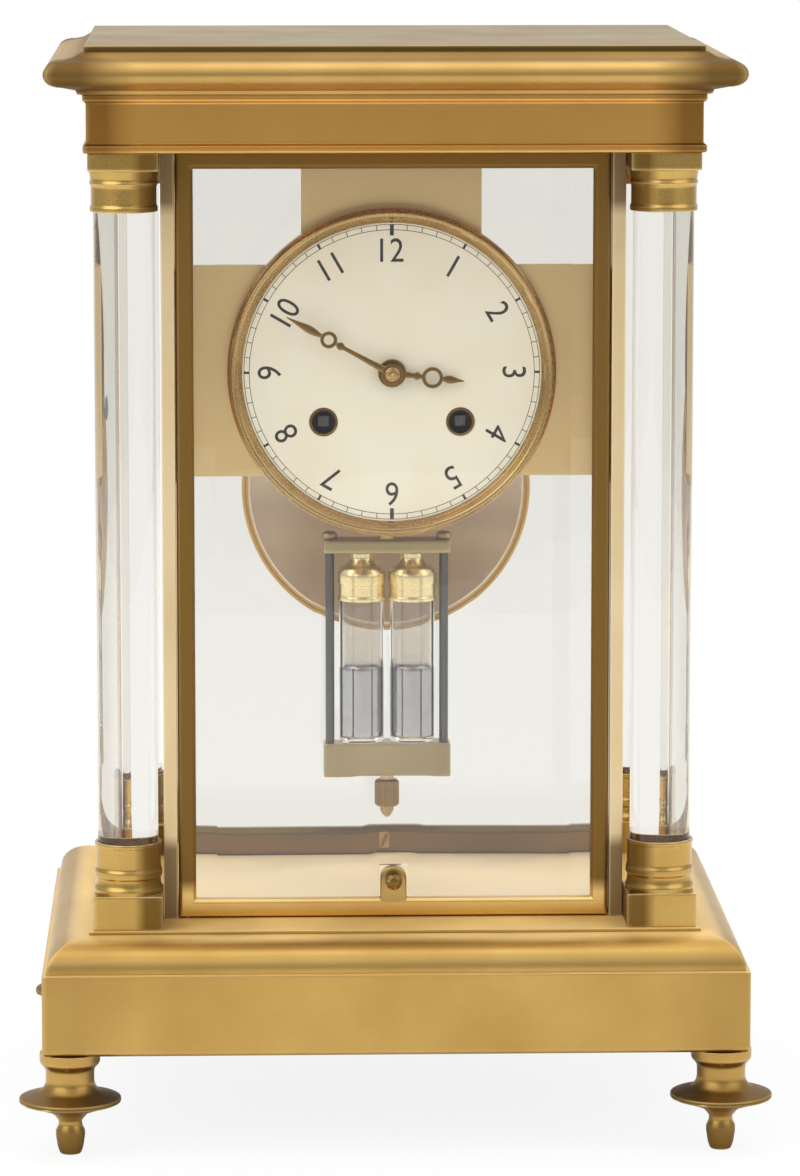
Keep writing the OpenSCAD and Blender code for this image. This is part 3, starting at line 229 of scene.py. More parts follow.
def node_group(name, inputs, outputs):
    """Empty node group with named sockets, and the nodes for its inputs and outputs."""
    tree = bpy.data.node_groups.new(name, "ShaderNodeTree")
    for label, kind in inputs.items():
        tree.interface.new_socket(label, in_out="INPUT", socket_type="NodeSocket" + kind)
    for label, kind in outputs.items():
        tree.interface.new_socket(label, in_out="OUTPUT", socket_type="NodeSocket" + kind)
    taken = tree.nodes.new("NodeGroupInput").outputs
    given = tree.nodes.new("NodeGroupOutput").inputs
    return tree, taken, given


def placed(tree, made_group, inputs):
    """Node group placed in a tree with its own values."""
    made = node(tree, "Group", {}, node_tree=made_group)
    for name, value in inputs.items():
        feed(tree, made.inputs[name], value)
    return made.outputs


# Age of metal: clouds of tone, bright rubbed edges, grime in hollows, and painted shade where a shade mask
# says
colour_inputs = dict.fromkeys(("Clean", "Toned", "Rubbed"), "Color")
value_inputs = dict.fromkeys(("Rough", "Spread", "Shade"), "Float")
aged_outputs = {"Color": "Color", "Roughness": "Float", "Height": "Float"}
aged_metal, taken, given = node_group("aged_metal", {**colour_inputs, **value_inputs}, aged_outputs)
tree = aged_metal
place = here(tree)
clouds = ranged(tree, noise(tree, place, 26, 6), 0.3, 0.72)
specks = noise(tree, place, 1500, 2)
bend = node(tree, "NewGeometry", {}).outputs["Pointiness"]
edges = ranged(tree, bend, 0.51, 0.58, 0.0, 0.7)
hollows_and_shade = worked(tree, "MAXIMUM", ranged(tree, bend, 0.49, 0.43, 0.0, 0.85), taken["Shade"])
tone = mixed(tree, clouds, taken["Clean"], taken["Toned"])
grime_and_shade = mixed(tree, 1.0, taken["Toned"], (0.36, 0.32, 0.26, 1), "MULTIPLY")
tone = mixed(tree, hollows_and_shade, tone, grime_and_shade)
feed(tree, given["Color"], mixed(tree, edges, tone, taken["Rubbed"]))
uneven = worked(tree, "ADD", worked(tree, "MULTIPLY", clouds, 0.6), specks)
uneven = worked(tree, "MULTIPLY", uneven, taken["Spread"])
uneven = worked(tree, "ADD", uneven, worked(tree, "MULTIPLY", hollows_and_shade, 0.2))
feed(tree, given["Roughness"], worked(tree, "ADD", uneven, taken["Rough"]))
feed(tree, given["Height"], specks)

# Fine lines left by rubbing or drawing, longest where the stretch is smallest
rubbed_lines, taken, given = node_group("rubbed_lines", {"Stretch": "Vector"}, {"Height": "Float"})
tree = rubbed_lines
stretched = worked(tree, "MULTIPLY", here(tree), taken["Stretch"], "VectorMath")
feed(tree, given["Height"], noise(tree, stretched, 1, 3))

# Rings left by the lathe round a front-to-back axis through a centre, and the distance from that axis
lathe_outputs = {"Height": "Float", "Radius": "Float"}
lathe_rings, taken, given = node_group("lathe_rings", {"Centre": "Vector"}, lathe_outputs)
tree = lathe_rings
from_centre = worked(tree, "SUBTRACT", here(tree), taken["Centre"], "VectorMath")
from_axis = worked(tree, "MULTIPLY", from_centre, (1, 0, 1), "VectorMath")
radius = node(tree, "VectorMath", {"Vector": from_axis}, operation="LENGTH").outputs["Value"]
rings = node(tree, "TexNoise", {"Scale": 1600, "Detail": 3}, noise_dimensions="1D")
feed(tree, rings.inputs["W"], radius)
feed(tree, given["Height"], rings.outputs["Fac"])
feed(tree, given["Radius"], radius)

# Dull film of old lacquer and dust on faces that look up, thinner in patches where it was wiped
dull_film, taken, given = node_group("dull_film", {"Amount": "Float"}, {"Mask": "Float"})
tree = dull_film
patches = ranged(tree, noise(tree, here(tree), 40, 5), 0.3, 0.7, 0.7, 1.0)
film = worked(tree, "MULTIPLY", ranged(tree, facing_up(tree), 0.9, 0.99), patches)
feed(tree, given["Mask"], worked(tree, "MULTIPLY", film, taken["Amount"]))


def empty_material(name, slot=None):
    """Material with no nodes yet, marked with the record's slot if it has one."""
    material = bpy.data.materials.new(name)
    material.use_nodes = True
    material.node_tree.nodes.clear()
    if slot:
        material["slot"] = slot
    return material, material.node_tree


def finished(tree, surface):
    """Principled shader with these inputs, as the material's output."""
    shader = node(tree, "BsdfPrincipled", surface)
    node(tree, "OutputMaterial", {"Surface": shader.outputs[0]})


def metal(slot, clean, toned, rubbed, rough, spread=0.08, stretch=None, centre=None, relief=0.06, shade=None,
          rim=None, film=None, metallic=1.0):
    """Metal with the age group for its colour and roughness, and fine relief from its lines or rings. Its
    colours are sRGB from 0 to 255. A shade function makes the mask of its painted shade, a rim of [radius,
    colour] is another tone on a turned edge, and a film of [amount, colour] dulls the faces that look up. Old
    lacquer makes it less metallic."""
    material, tree = empty_material("fine_" + slot, slot)
    colours = {"Clean": tint(*clean), "Toned": tint(*toned), "Rubbed": tint(*rubbed)}
    grime_and_shade = shade(tree) if shade else 0.0
    age = placed(tree, aged_metal, {**colours, "Rough": rough, "Spread": spread, "Shade": grime_and_shade})
    colour, height, roughness = age["Color"], age["Height"], age["Roughness"]
    if stretch:
        height = placed(tree, rubbed_lines, {"Stretch": stretch})["Height"]
    if centre:
        lathe = placed(tree, lathe_rings, {"Centre": centre})
        height = lathe["Height"]
    if rim:
        on_edge = ranged(tree, lathe["Radius"], rim[0] - 0.3 * mm, rim[0])
        colour = mixed(tree, on_edge, colour, tint(*rim[1]))
    if film:
        dulled = placed(tree, dull_film, {"Amount": film[0]})["Mask"]
        colour = mixed(tree, dulled, colour, tint(*film[1]))
        metallic = ranged(tree, dulled, 0.0, 1.0, metallic, 0.2)
        roughness = worked(tree, "MAXIMUM", roughness, worked(tree, "MULTIPLY", dulled, 0.6))
    surface = {"Base Color": colour, "Metallic": metallic, "Roughness": roughness}
    finished(tree, {**surface, "Normal": bumped(tree, relief, height)})
    return material


def ramp(axis, low, high, most=1.0):
    """Shade function that grows along one axis between two places, on both sides of the middle."""

    def mask(tree):
        along = node(tree, "SeparateXYZ", {"Vector": here(tree)}).outputs[axis]
        return ranged(tree, worked(tree, "ABSOLUTE", along, 0.0), low, high, 0.0, most)

    return mask


def combined(operation, first, second):
    """Shade function made of two others by a Math node."""
    return lambda tree: worked(tree, operation, first(tree), second(tree))


# Painted shade darkens the foot's tip and its flange
tip_shade = ramp("Z", 8 * mm, 6.6 * mm, 0.6)
flange_shade = combined("MULTIPLY", ramp("Z", 11 * mm, 13.5 * mm, 0.85), ramp("Z", 21 * mm, 17.5 * mm))
level_lines = (40, 40, 2600)
foot_gilt = metal(
    "gilt_brass", (192, 156, 90), (172, 136, 74), (240, 212, 150),
    rough=0.24, stretch=level_lines, shade=combined("MAXIMUM", tip_shade, flange_shade),
)
foot_flange_r = 14.3 * mm
foot_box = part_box("feet")
foot_x, foot_y = foot_box[1].x - foot_flange_r, foot_box[1].y - foot_flange_r
foot_line = softened([
    [0, 0, 0], [2.9, 0, 0.4], [3.6, 1.9, 0.8], [4.1, 5.2, 1], [4.1, 6.6, 0.5], [3.3, 8.4, 0.6],
    [3.3, 9.6, 0.6], [5.2, 11.8, 1.4], [11.6, 14.1, 1.6], [14.3, 14.9, 0.35], [14.3, 16.1, 0.35],
    [11.6, 16.9, 1.4], [8.2, 17.9, 1], [6.8, 20.2, 1.4], [6.8, 24.4, 1.2], [8.5, 26.2, 0.7],
    [8.5, 29, 0.2], [0, 29, 0],
])
piece("turned_feet", at_corners(turned(foot_line), foot_x, foot_y), "case", foot_gilt, "feet")

# Plinth: a hollow casting of gilt brass with plain sides, a small step and a rounded shoulder up to
# the platform that the columns stand on. A sheet of steel closes it underneath.


def moulding(profile, width, depth, corner=0.35 * mm, share=(1, 1), closed=False):
    """Profile of [inset, height] carried round a rectangle: each point runs along a rounded rectangle
    that is smaller by its inset, with a short straight step beside each corner."""
    half = np.array([width, depth]) / 2 - profile[:, :1] * share - corner
    step = min(1.2 * mm, 0.6 * half.min())
    quarter = np.arange(4) * np.pi / 2
    angle = quarter[:, None] + np.linspace(0, np.pi / 2, 5)
    outward = np.stack([np.cos(angle), np.sin(angle)], 2)
    along = np.stack([-outward[..., 1], outward[..., 0]], 2)
    before = outward[:, :1] * corner - along[:, :1] * step
    after = outward[:, -1:] * corner + along[:, -1:] * step
    bend = np.concatenate([before, outward * corner, after], 1)
    middle = quarter + np.pi / 4
    signs = np.sign(np.stack([np.cos(middle), np.sin(middle)], 1))
    plan = half[:, None, None] * signs[:, None] + bend
    plan = plan.reshape(len(profile), -1, 2)
    height = np.broadcast_to(profile[:, None, 1:], plan.shape[:2] + (1,))
    points = np.concatenate([plan, height], 2)
    if not closed:
        ends = points[[0, -1]] * [0, 0, 1]
        points = np.concatenate([ends[:1], points, ends[1:]])
    return woven(points, closed)


def carried(name, node_name, line, material, corner=0.35 * mm):
    """Piece that is a moulding carried round the box of a CAD node, from the foot of that box."""
    low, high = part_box(node_name)
    shape = moulding(line, *(high - low)[:2], corner)
    piece(name, moved(shape, (0, 0, low.z)), "case", material, node_name)


def arc(across, up, reach_across, reach_up, first, last, count=14):
    """Part of an ellipse about a centre, between two angles in degrees from the across axis, in mm."""
    angle = np.radians(np.linspace(first, last, count))
    return np.stack([across + reach_across * np.cos(angle), up + reach_up * np.sin(angle)], 1) * mm


def merged(mesh):
    """Mesh whose loose faces now share their points."""
    work = bmesh.new()
    work.from_mesh(mesh)
    bmesh.ops.remove_doubles(work, verts=work.verts, dist=1e-6)
    work.to_mesh(mesh)
    work.free()
    return mesh


def kept(name, material, edge=0.0, sharp=32):
    """Smooth copy of a CAD node's mesh, its loose triangles merged and their stored normals dropped, with
    fine bevels on its edges."""
    source = frame["nodes"][name]
    mesh = merged(source.data.copy())
    mesh.materials.clear()
    stored = mesh.attributes.get("custom_normal")
    if stored:
        mesh.attributes.remove(stored)
    made = shown("fine_" + name, mesh, source["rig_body"], material, [name], sharp)
    if edge:
        bevel = made.modifiers.new("edges", "BEVEL")
        bevel.width, bevel.segments, bevel.limit_method = edge, 2, "ANGLE"
        bevel.angle_limit = np.radians(40)
        bevel.use_clamp_overlap = bevel.harden_normals = True
    return made


steel = metal("steel", (168, 170, 174), (120, 120, 124), (214, 215, 218), rough=0.24, spread=0.12)


def near_corners(half_size, reach, most):
    """Shade function of painted shade on the upright edges of a box, darker towards its corners: the product
    of how far a point lies within the reach of the box's sides along both axes."""
    (x, y), full = half_size, 0.4 * reach
    return combined("MULTIPLY", ramp("X", x - reach, x - full, most), ramp("Y", y - reach, y - full))


# Painted shade darkens the plinth's gilt a little towards its corners
plinth_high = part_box("plinth")[1]
gilt = metal(
    "gilt_brass", (200, 165, 95), (184, 146, 78), (242, 216, 158),
    rough=0.3, stretch=level_lines, shade=near_corners(plinth_high[:2], 26 * mm, 0.2),
    film=(0.95, (240, 204, 130)),
)
plinth_line = np.vstack([
    softened([[6, 1.6, 0], [4, 1.6, 0.2], [4, 0, 0.2], [0.9, 0, 0.4], [0, 0.9, 0.5], [0, 23, 0.35],
              [1.2, 23.1, 0.2], [1.2, 23.9, 0]]),
    arc(12.5, 24, -11.3, 8, 0, 90),
    softened([[13, 32.05, 0], [13, 33, 0.25], [16, 33, 0]]),
])
carried("plinth_casting", "plinth", plinth_line, gilt)
kept("bottom_plate", steel)

# Floor: a pale brass plate between the doors, rubbed to an even sheen and laid loose on the plinth. It
# catches the light that falls through the glass.
pale_plate = metal(
    "polished_plate", (250, 232, 194), (240, 216, 172), (252, 240, 212),
    rough=0.36, stretch=(60, 2200, 2200), relief=0.04, film=(0.95, (255, 230, 182)),
)
kept("floor_plate", pale_plate, 0.15 * mm)

# Columns: four solid glass rods, each held between a brass base and a brass capital that are
# cast with a square block and turned rings, and bored to seat the glass.


def block(low, high, edge=0.3):
    """Bar or plate with softened edges between two corners, carried round its plan as a moulding."""
    low, high = np.array(low, float), np.array(high, float)
    width, depth, height = high - low
    tall, inside = height / mm, 3 * edge
    side = softened([[inside, 0, 0], [0, 0, edge], [0, tall, edge], [inside, tall, 0]])
    shape = moulding(side, width, depth, edge * mm)
    return moved(shape, (*(low + high)[:2] / 2, low[2]))


def clear_glass(tone):
    """Clear glass with faint smudges. Shadow rays and reflected rays pass straight through it."""
    material, tree = empty_material("fine_crystal", "crystal")
    place = here(tree)
    smudge = ranged(tree, noise(tree, place, 60, 4), 0.55, 0.75, 0.0, 0.018)
    ripple = bumped(tree, 0.01, noise(tree, place, 45, 1))
    surface = {"Base Color": tone, "Roughness": smudge, "Normal": ripple}
    clarity = {"IOR": 1.5, "Transmission Weight": 1.0, "Specular IOR Level": 0.3}
    shader = node(tree, "BsdfPrincipled", {**surface, **clarity})
    clear = node(tree, "BsdfTransparent", {"Color": (1, 1, 1, 1)})
    path = node(tree, "LightPath", {}).outputs
    passing = worked(tree, "MAXIMUM", path["Is Shadow Ray"], path["Is Reflection Ray"])
    mix = node(tree, "MixShader", {"Fac": passing})
    tree.links.new(shader.outputs[0], mix.inputs[1])
    tree.links.new(clear.outputs[0], mix.inputs[2])
    node(tree, "OutputMaterial", {"Surface": mix.outputs[0]})
    return material


crystal = clear_glass((0.9, 0.895, 0.865, 1))
column_glass = clear_glass((0.87, 0.855, 0.805, 1))
column_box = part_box("glass_columns")
column_r = 8.5 * mm
column_x, column_y = column_box[1].x - column_r, column_box[1].y - column_r
column_tall = (column_box[1].z - column_box[0].z) / mm
block_half = 9.8 * mm


def on_columns(name, node_name, shape, material):
    """Piece of four like shapes on the columns' axes, from the foot of a CAD node's box."""
    four = at_corners(shape, column_x, column_y)
    piece(name, moved(four, (0, 0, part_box(node_name)[0].z)), "case", material, node_name)


column_line = softened([[0, 0, 0], [8.5, 0, 0.4], [8.5, column_tall, 0.4], [0, column_tall, 0]])
on_columns("crystal_columns", "glass_columns", turned(column_line), column_glass)

# Painted shade darkens the column's brass in the narrow gap beside the post
gap_shade = ramp("X", column_x - 1.8 * mm, column_x - 5 * mm, 0.92)
column_gilt = metal(
    "gilt_brass", (199, 165, 96), (181, 146, 79), (240, 214, 156),
    rough=0.22, spread=0.07, stretch=level_lines, shade=gap_shade,
)
base_block = block((-block_half, -block_half, 0), (block_half, block_half, 9.6 * mm), 0.35)
base_line = softened([
    [0, 9.5, 0], [9.7, 9.5, 0.1], [9.75, 10.9, 0.5], [9.2, 11.9, 0.5], [9, 13.7, 0.7],
    [9.55, 14.4, 0.35], [9.55, 16, 0.35], [9.15, 16.8, 0.4], [9.15, 22.6, 0.4], [9.45, 23.2, 0.3],
    [9.4, 24, 0.2], [8.62, 24, 0.1], [8.62, 19, 0.1], [0, 19, 0],
])
on_columns("column_base_castings", "column_bases", joined(base_block, turned(base_line)), column_gilt)
capital_line = softened([
    [0, 5, 0], [8.62, 5, 0.1], [8.62, 0, 0.1], [9.4, 0, 0.2], [9.45, 1.3, 0.3], [9.1, 1.9, 0.4],
    [9.1, 7, 0.4], [9.6, 7.9, 0.4], [9.2, 8.9, 0.4], [9.7, 11.7, 0.3], [0, 11.7, 0],
])
capital_block = block((-block_half, -block_half, 11.6 * mm), (block_half, block_half, 16.6 * mm), 0.35)
on_columns("capital_castings", "capitals", joined(turned(capital_line), capital_block), column_gilt)

# Glazed frame: slim drawn brass posts at the corners with rails between them, grooved for the
# two side glasses, which are slid in from above before the frieze goes on.
post_low, post_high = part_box("corner_posts")
post_w, post_d = 3.8 * mm, 8 * mm
post = block((-post_w / 2, -post_d / 2, post_low.z), (post_w / 2, post_d / 2, post_high.z), 0.35)
posts = at_corners(post, post_high.x - post_w / 2, post_high.y - post_d / 2)

# The posts' ends stand in the shade of the bases and capitals
base_z, capital_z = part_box("column_bases")[0].z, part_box("capitals")[0].z
foot_shade = ramp("Z", base_z + 24 * mm, base_z + 20 * mm, 0.95)
head_shade = ramp("Z", capital_z - 2 * mm, capital_z + 2 * mm, 0.95)
post_shade = combined("MAXIMUM", foot_shade, head_shade)
upright_lines = (2400, 2400, 30)
# The posts' brass is paler and less metallic than the other gilt: a painted reflection of bright light on
# them
post_brass = metal(
    "gilt_brass", (228, 205, 162), (214, 188, 140), (248, 230, 192),
    rough=0.3, stretch=upright_lines, shade=post_shade, metallic=0.5,
)
piece("drawn_posts", posts, "case", post_brass, "corner_posts")
rail_low, rail_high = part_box("side_rails")
rail_h = 5 * mm
rails = [
    block((side - post_w / 2, rail_low.y, z), (side + post_w / 2, rail_high.y, z + rail_h), 0.3)
    for side in (post_w / 2 - post_high.x, post_high.x - post_w / 2)
    for z in (rail_low.z, rail_high.z - rail_h)
]
piece("side_rail_bars", joined(*rails), "case", gilt, "side_rails")
flat_angle = 4
for name in ("side_glass_left", "side_glass_right"):
    kept(name, crystal, 0.3 * mm, flat_angle)

# Entablature: a frieze with a sunk band, a cornice with a rounded nose, and a flat top panel let
# into it. All are sheet brass moulded round a core, mitred and gilt.
frieze_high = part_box("frieze")[1]
# Painted shade darkens the frieze towards its ends
frieze_gilt = metal(
    "gilt_brass", (222, 172, 94), (204, 154, 80), (242, 210, 148),
    rough=0.26, spread=0.07, stretch=level_lines, shade=near_corners(frieze_high[:2], 16 * mm, 0.9),
)
frieze_line = softened([
    [4, 0, 0], [0.4, 0, 0.3], [0, 0.4, 0.3], [0, 2, 0.25], [0.9, 2.6, 0.25], [0.9, 13.8, 0.25],
    [0, 14.5, 0.25], [0, 16, 0.1], [4, 16, 0],
])
carried("frieze_band", "frieze", frieze_line, frieze_gilt)

cornice_low, cornice_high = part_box("cornice")
cornice_line = np.vstack([
    softened([[13, 0, 0], [10.6, 0, 0.1], [9.1, 0.3, 0.2], [8.7, 1.4, 0.3], [4.6, 2.4, 0.2],
              [3.5, 2.5, 0]]),
    arc(4.2, 6, -4.2, 3.48, -78, 78, 20),
    softened([[3.5, 9.5, 0], [5.2, 9.6, 0.2], [8, 10.3, 0.6], [10.4, 11.8, 0.2], [11.6, 12, 0]]),
])

# Painted shade darkens the cornice at its ends and in the hollow above its nose
end_shade = near_corners(cornice_high[:2], 26 * mm, 1.0)
hollow_shade = ramp("Z", cornice_low.z + 9 * mm, cornice_low.z + 10.6 * mm, 0.6)
cornice_gilt = metal(
    "gilt_brass", (192, 158, 94), (174, 138, 76), (224, 194, 134),
    rough=0.34, stretch=level_lines, shade=combined("MAXIMUM", end_shade, hollow_shade),
)
carried("cornice_moulding", "cornice", cornice_line, cornice_gilt, 1.6 * mm)
top_low, top_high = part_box("top_panel")
top_shape = block((top_low.x, top_low.y, cornice_high.z - 0.3 * mm), top_high, 0.4)


def on_sides(tree):
    """Mask of painted shade on the faces that stand upright, which are darker than the ones that look up."""
    return ranged(tree, facing_up(tree), 0.3, 0.85, 0.9, 0.0)


# The top slab's brass and the film on its top face are darker than the other gilt
top_gilt = metal(
    "gilt_brass", (176, 148, 90), (150, 124, 72), (190, 164, 110),
    rough=0.34, stretch=(60, 2200, 2200), shade=on_sides, film=(0.95, (133, 117, 84)),
)
piece("top_slab", top_shape, "case", top_gilt, "top_panel")

# Doors: a brass frame in front and behind, with a rounded outer edge that turns on two steel pins,
# a bevelled pane in its groove, and a small turned knob that works a latch finger.


def facing_front(shape):
    """Shape turned a quarter about the side-to-side axis, so that its height points to the front."""
    return shape[0][:, [0, 2, 1]] * [1, -1, 1], shape[1]


def facing_back(shape):
    """Shape turned a quarter the other way, so that its height points to the back."""
    return shape[0][:, [0, 2, 1]] * [1, 1, -1], shape[1]


def door_frame(name, body, rail, facing, material):
    """Frame carried round the door's outline: a closed profile with a rounded outer edge and a
    splayed inner edge, wider on the rails than on the stiles. Gives back the frame's middle."""
    low, high = (np.array(corner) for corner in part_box(body + "_frame"))
    stile, half = 4.9, 2.3
    line = softened([
        [0, -half, 1.8], [0, half, 1.8], [stile - 0.9, half, 0.3], [stile, half - 0.9, 0.2],
        [stile, 0.9 - half, 0.2], [stile - 0.9, -half, 0.3],
    ], steps=8, closed=True)
    middle = (low + high) / 2
    ring = moulding(line, high[0] - low[0], high[2] - low[2], 0.3 * mm, (1, rail / mm / stile), True)
    piece(name, moved(facing(ring), middle), body, material, body + "_frame")
    return middle


def plate(outline, thick, edge=0.15 * mm):
    """Flat plate with softened edges over an outline that goes round its own middle: rows of the outline,
    drawn in towards the middle by the edge at both faces, with a pole on each face."""
    middle = outline.mean(axis=0)
    reach = np.linalg.norm(outline - middle, axis=1, keepdims=True)
    inner = middle + (outline - middle) * (1 - edge / reach)
    rows = [inner * 0 + middle, inner, outline, outline, inner, inner * 0 + middle]
    heights = np.array([0, 0, edge, thick - edge, thick, thick])
    points = [np.column_stack([row, np.full(len(row), height)]) for row, height in zip(rows, heights)]
    return woven(np.stack(points))


def cut(made, cutters, sharp=32):
    """Takes cutter shapes out of a piece's mesh by a boolean that is applied at once."""
    tool = linked("cutters", meshed("cutters", joined(*cutters)))
    modifier = made.modifiers.new("holes", "BOOLEAN")
    modifier.operation, modifier.object, modifier.solver = "DIFFERENCE", tool, "EXACT"
    evaluated = made.evaluated_get(bpy.context.evaluated_depsgraph_get())
    made.data = bpy.data.meshes.new_from_object(evaluated)
    made.modifiers.clear()
    bpy.data.objects.remove(tool)
    made.data.set_sharp_from_angle(angle=np.radians(sharp))


# Painted shade: the door's stiles and its upper rail are darker than the rail below
stile_shade = ramp("Z", 69 * mm, 73 * mm)
door_brass = metal(
    "gilt_brass", (222, 188, 120), (206, 169, 100), (244, 218, 160),
    rough=0.24, spread=0.07, stretch=upright_lines, shade=stile_shade,
)
# The rear door's brass is a darker copy of the door's gilt: painted shade
shaded_rear_brass = metal(
    "gilt_brass", (138, 110, 60), (112, 88, 46), (226, 196, 136),
    rough=0.18, spread=0.07, stretch=upright_lines,
)
door_t, front_rail, rear_rail = 4.6 * mm, 5.2 * mm, 9 * mm
front_middle = door_frame("front_door_casting", "front_door", front_rail, facing_front, door_brass)
rear_middle = door_frame("rear_door_casting", "rear_door", rear_rail, facing_back, shaded_rear_brass)
pane_low, pane_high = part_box("front_glass")
pane_edge, pane_t, pane_seat, bevel_w = 0.5 * mm, 2 * mm, 1.4 * mm, 6 * mm
pane_side = pane_high.x - pane_seat
pane_half = np.array(
    [[pane_side - bevel_w, pane_edge - pane_t], [pane_side, -pane_edge], [pane_high.x, -pane_edge],
     [pane_high.x, pane_edge], [pane_side - bevel_w, pane_edge]]
)
pane_outline = np.vstack([pane_half[::-1] * [-1, 1], pane_half])
pane_place = (0, front_middle[1], pane_low.z)
pane_shape = moved(plate(pane_outline, pane_high.z - pane_low.z, 0.02 * mm), pane_place)
pane = piece("front_pane", pane_shape, "front_door", crystal, "front_glass", sharp=flat_angle)
notch_half, notch_high, notch_deep = 4.1 * mm, 77 * mm, 6 * mm
notch = block((-notch_half, front_middle[1] - notch_deep, pane_low.z - notch_deep),
              (notch_half, front_middle[1] + notch_deep, notch_high), 0.1)
cut(pane, [notch], flat_angle)
kept("rear_glass", crystal, sharp=flat_angle)
kept("hinge_pins", steel, 0.1 * mm)

dark_brass = metal("dark_brass", (150, 118, 66), (108, 84, 46), (206, 172, 108), rough=0.24, spread=0.1)
knob_line = softened([
    [0, -3.6, 0], [1.1, -3.6, 0.1], [1.1, 0.2, 0.1], [1.5, 0.2, 0.1], [1.25, 1.5, 0.5], [2.1, 2, 0.3],
    [2.4, 2.8, 0.4], [2.1, 3.7, 0.4], [1.25, 4.3, 0.6], [0, 4.4, 0],
])
finger_half, finger_t, finger_up, finger_gap = 1.5 * mm, 1.1 * mm, 2 * mm, 0.3 * mm


def latch(name, body, place, facing):
    """Turned knob on its spindle, with the flat finger behind the door frame, which ends above the floor."""
    down = place[2] - floor_top - finger_clear
    knob = moved(turned(knob_line, 48), (0, 0, door_t / 2))
    face = -door_t / 2 - finger_gap
    finger = block((-finger_half, -down, face - finger_t), (finger_half, finger_up, face), 0.2)
    piece(name, moved(facing(joined(knob, finger)), place), body, dark_brass, body)


front_knob_z = 72.8 * mm
rear_knob_z = 67.5 * mm
lug_half, lug_sunk, lug_thinner = 3.7 * mm, 1.6 * mm, 0.3 * mm
lug_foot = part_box("front_door_frame")[0].z + front_rail - lug_sunk - front_knob_z
lug_angle = np.linspace(0, np.pi, 24)
lug_round = lug_half * np.stack([np.cos(lug_angle), np.sin(lug_angle)], 1)
lug_outline = np.vstack([[[-lug_half, lug_foot], [lug_half, lug_foot]], lug_round])
lug = moved(plate(lug_outline, door_t - lug_thinner, 0.4 * mm), (0, 0, (lug_thinner - door_t) / 2))
piece("knob_lug", moved(facing_front(lug), (0, front_middle[1], front_knob_z)), "front_door", dark_brass)
floor_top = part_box("floor_plate")[1].z
finger_clear = 1.6 * mm
latch("front_knob", "front_latch", (0, front_middle[1], front_knob_z), facing_front)


def upright_back(shape):
    """Shape turned to the back and then upright again, so that its plan's up stays up."""
    return shape[0][:, [0, 2, 1]] * [-1, 1, 1], shape[1]


latch("rear_knob", "rear_latch", (0, rear_middle[1], rear_knob_z), upright_back)

# Movement: a polished seat plate screwed between the posts, two round plates on four pillars, and
# the brass wheels and steel arbors of the going and striking trains between them.
seat_brass = metal(
    "polished_plate", (236, 196, 122), (218, 176, 102), (240, 212, 158),
    rough=0.24, spread=0.1, stretch=(50, 2200, 2200), relief=0.05,
)
movement_brass = metal(
    "movement_brass", (204, 172, 104), (176, 144, 82), (232, 206, 146),
    rough=0.28, spread=0.12, stretch=(900, 900, 900),
)
kept("seat_plate", seat_brass)
kept("seat_screws", steel, 0.1 * mm)
of_brass = """front_plate back_plate pillars suspension_block going_barrel intermediate_wheel centre_wheel
    third_wheel escape_wheel minute_wheel hour_wheel strike_barrel strike_second_wheel strike_pin_wheel
    strike_gathering_wheel strike_fly"""
for name in of_brass.split():
    kept(name, movement_brass)
for name in "cannon_pinion pallets".split():
    kept(name, steel)
# The winding arbors and clicks are very dark steel, which paints the shade inside the winding holes
dark_steel = metal("steel", (46, 42, 36), (34, 31, 26), (112, 110, 108), rough=0.34, spread=0.12)
for name in "going_arbor going_click strike_arbor strike_click".split():
    kept(name, dark_steel)

# Dial: a slightly domed disc of copper with cream enamel fired on, its numbers and minute track in
# black, brass rims in the two winding holes, and a turned brass bezel round it.


def domed(radius):
    """Height of the dial's face over its rim, falling with the square of the radius."""
    return dial_dome * (1 - (radius / dial_r) ** 2)


dial_low, dial_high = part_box("dial")
dial_r = dial_high.x
dial_z = (dial_low.z + dial_high.z) / 2
dial_face_y = dial_low.y
dial_dome = 0.6 * mm
dial_t = 1.2 * mm
wind_x, wind_down, wind_hole_r = 19.35 * mm, 14 * mm, 3.4 * mm
centre_hole_r = 3.1 * mm

# Enamel: cream with soft clouds and fine specks, under a clear glaze
enamel, tree = empty_material("fine_enamel", "enamel")
place = here(tree)
clouds = ranged(tree, noise(tree, place, 55, 4), 0.4, 0.7, 0.0, 0.5)
specks = ranged(tree, noise(tree, place, 1100, 2), 0.66, 0.74, 0.0, 0.35)
aged = worked(tree, "MAXIMUM", clouds, specks)
tone = mixed(tree, aged, tint(248, 240, 219), tint(240, 228, 196))
peel = bumped(tree, 0.04, noise(tree, place, 260, 2))
rough = ranged(tree, noise(tree, place, 90, 3), 0.3, 0.7, 0.16, 0.26)
glaze = {"Base Color": tone, "Roughness": rough, "IOR": 1.5, "Normal": peel}
finished(tree, {**glaze, "Coat Weight": 0.3, "Coat Roughness": 0.06})

face_r = np.linspace(dial_r - 0.5 * mm, centre_hole_r + 0.2 * mm, 40)
rim = [[dial_r, 0.3 * mm], [dial_r, dial_t - 0.5 * mm], [dial_r - 0.15 * mm, dial_t - 0.1 * mm]]
hole = [[centre_hole_r, dial_t + dial_dome - 0.3 * mm], [centre_hole_r, 0.1 * mm]]
back = [[dial_r - 2 * mm, 0]]
dial_line = np.vstack([back, rim, np.stack([face_r, dial_t + domed(face_r)], 1), hole])
dial_shape = turned(dial_line, 160, closed=True)
dial_place = (0, dial_face_y + dial_t, dial_z)
dial = piece("enamel_dial", moved(facing_front(dial_shape), dial_place), "case", enamel, "dial")
hole_r = wind_hole_r / mm
key_hole = turned(softened([[0, -4, 0], [hole_r, -4, 0], [hole_r, 6, 0], [0, 6, 0]]), 64)
wind_places = [(side * wind_x, dial_face_y, dial_z - wind_down) for side in (-1, 1)]
cut(dial, [moved(facing_front(key_hole), spot) for spot in wind_places])

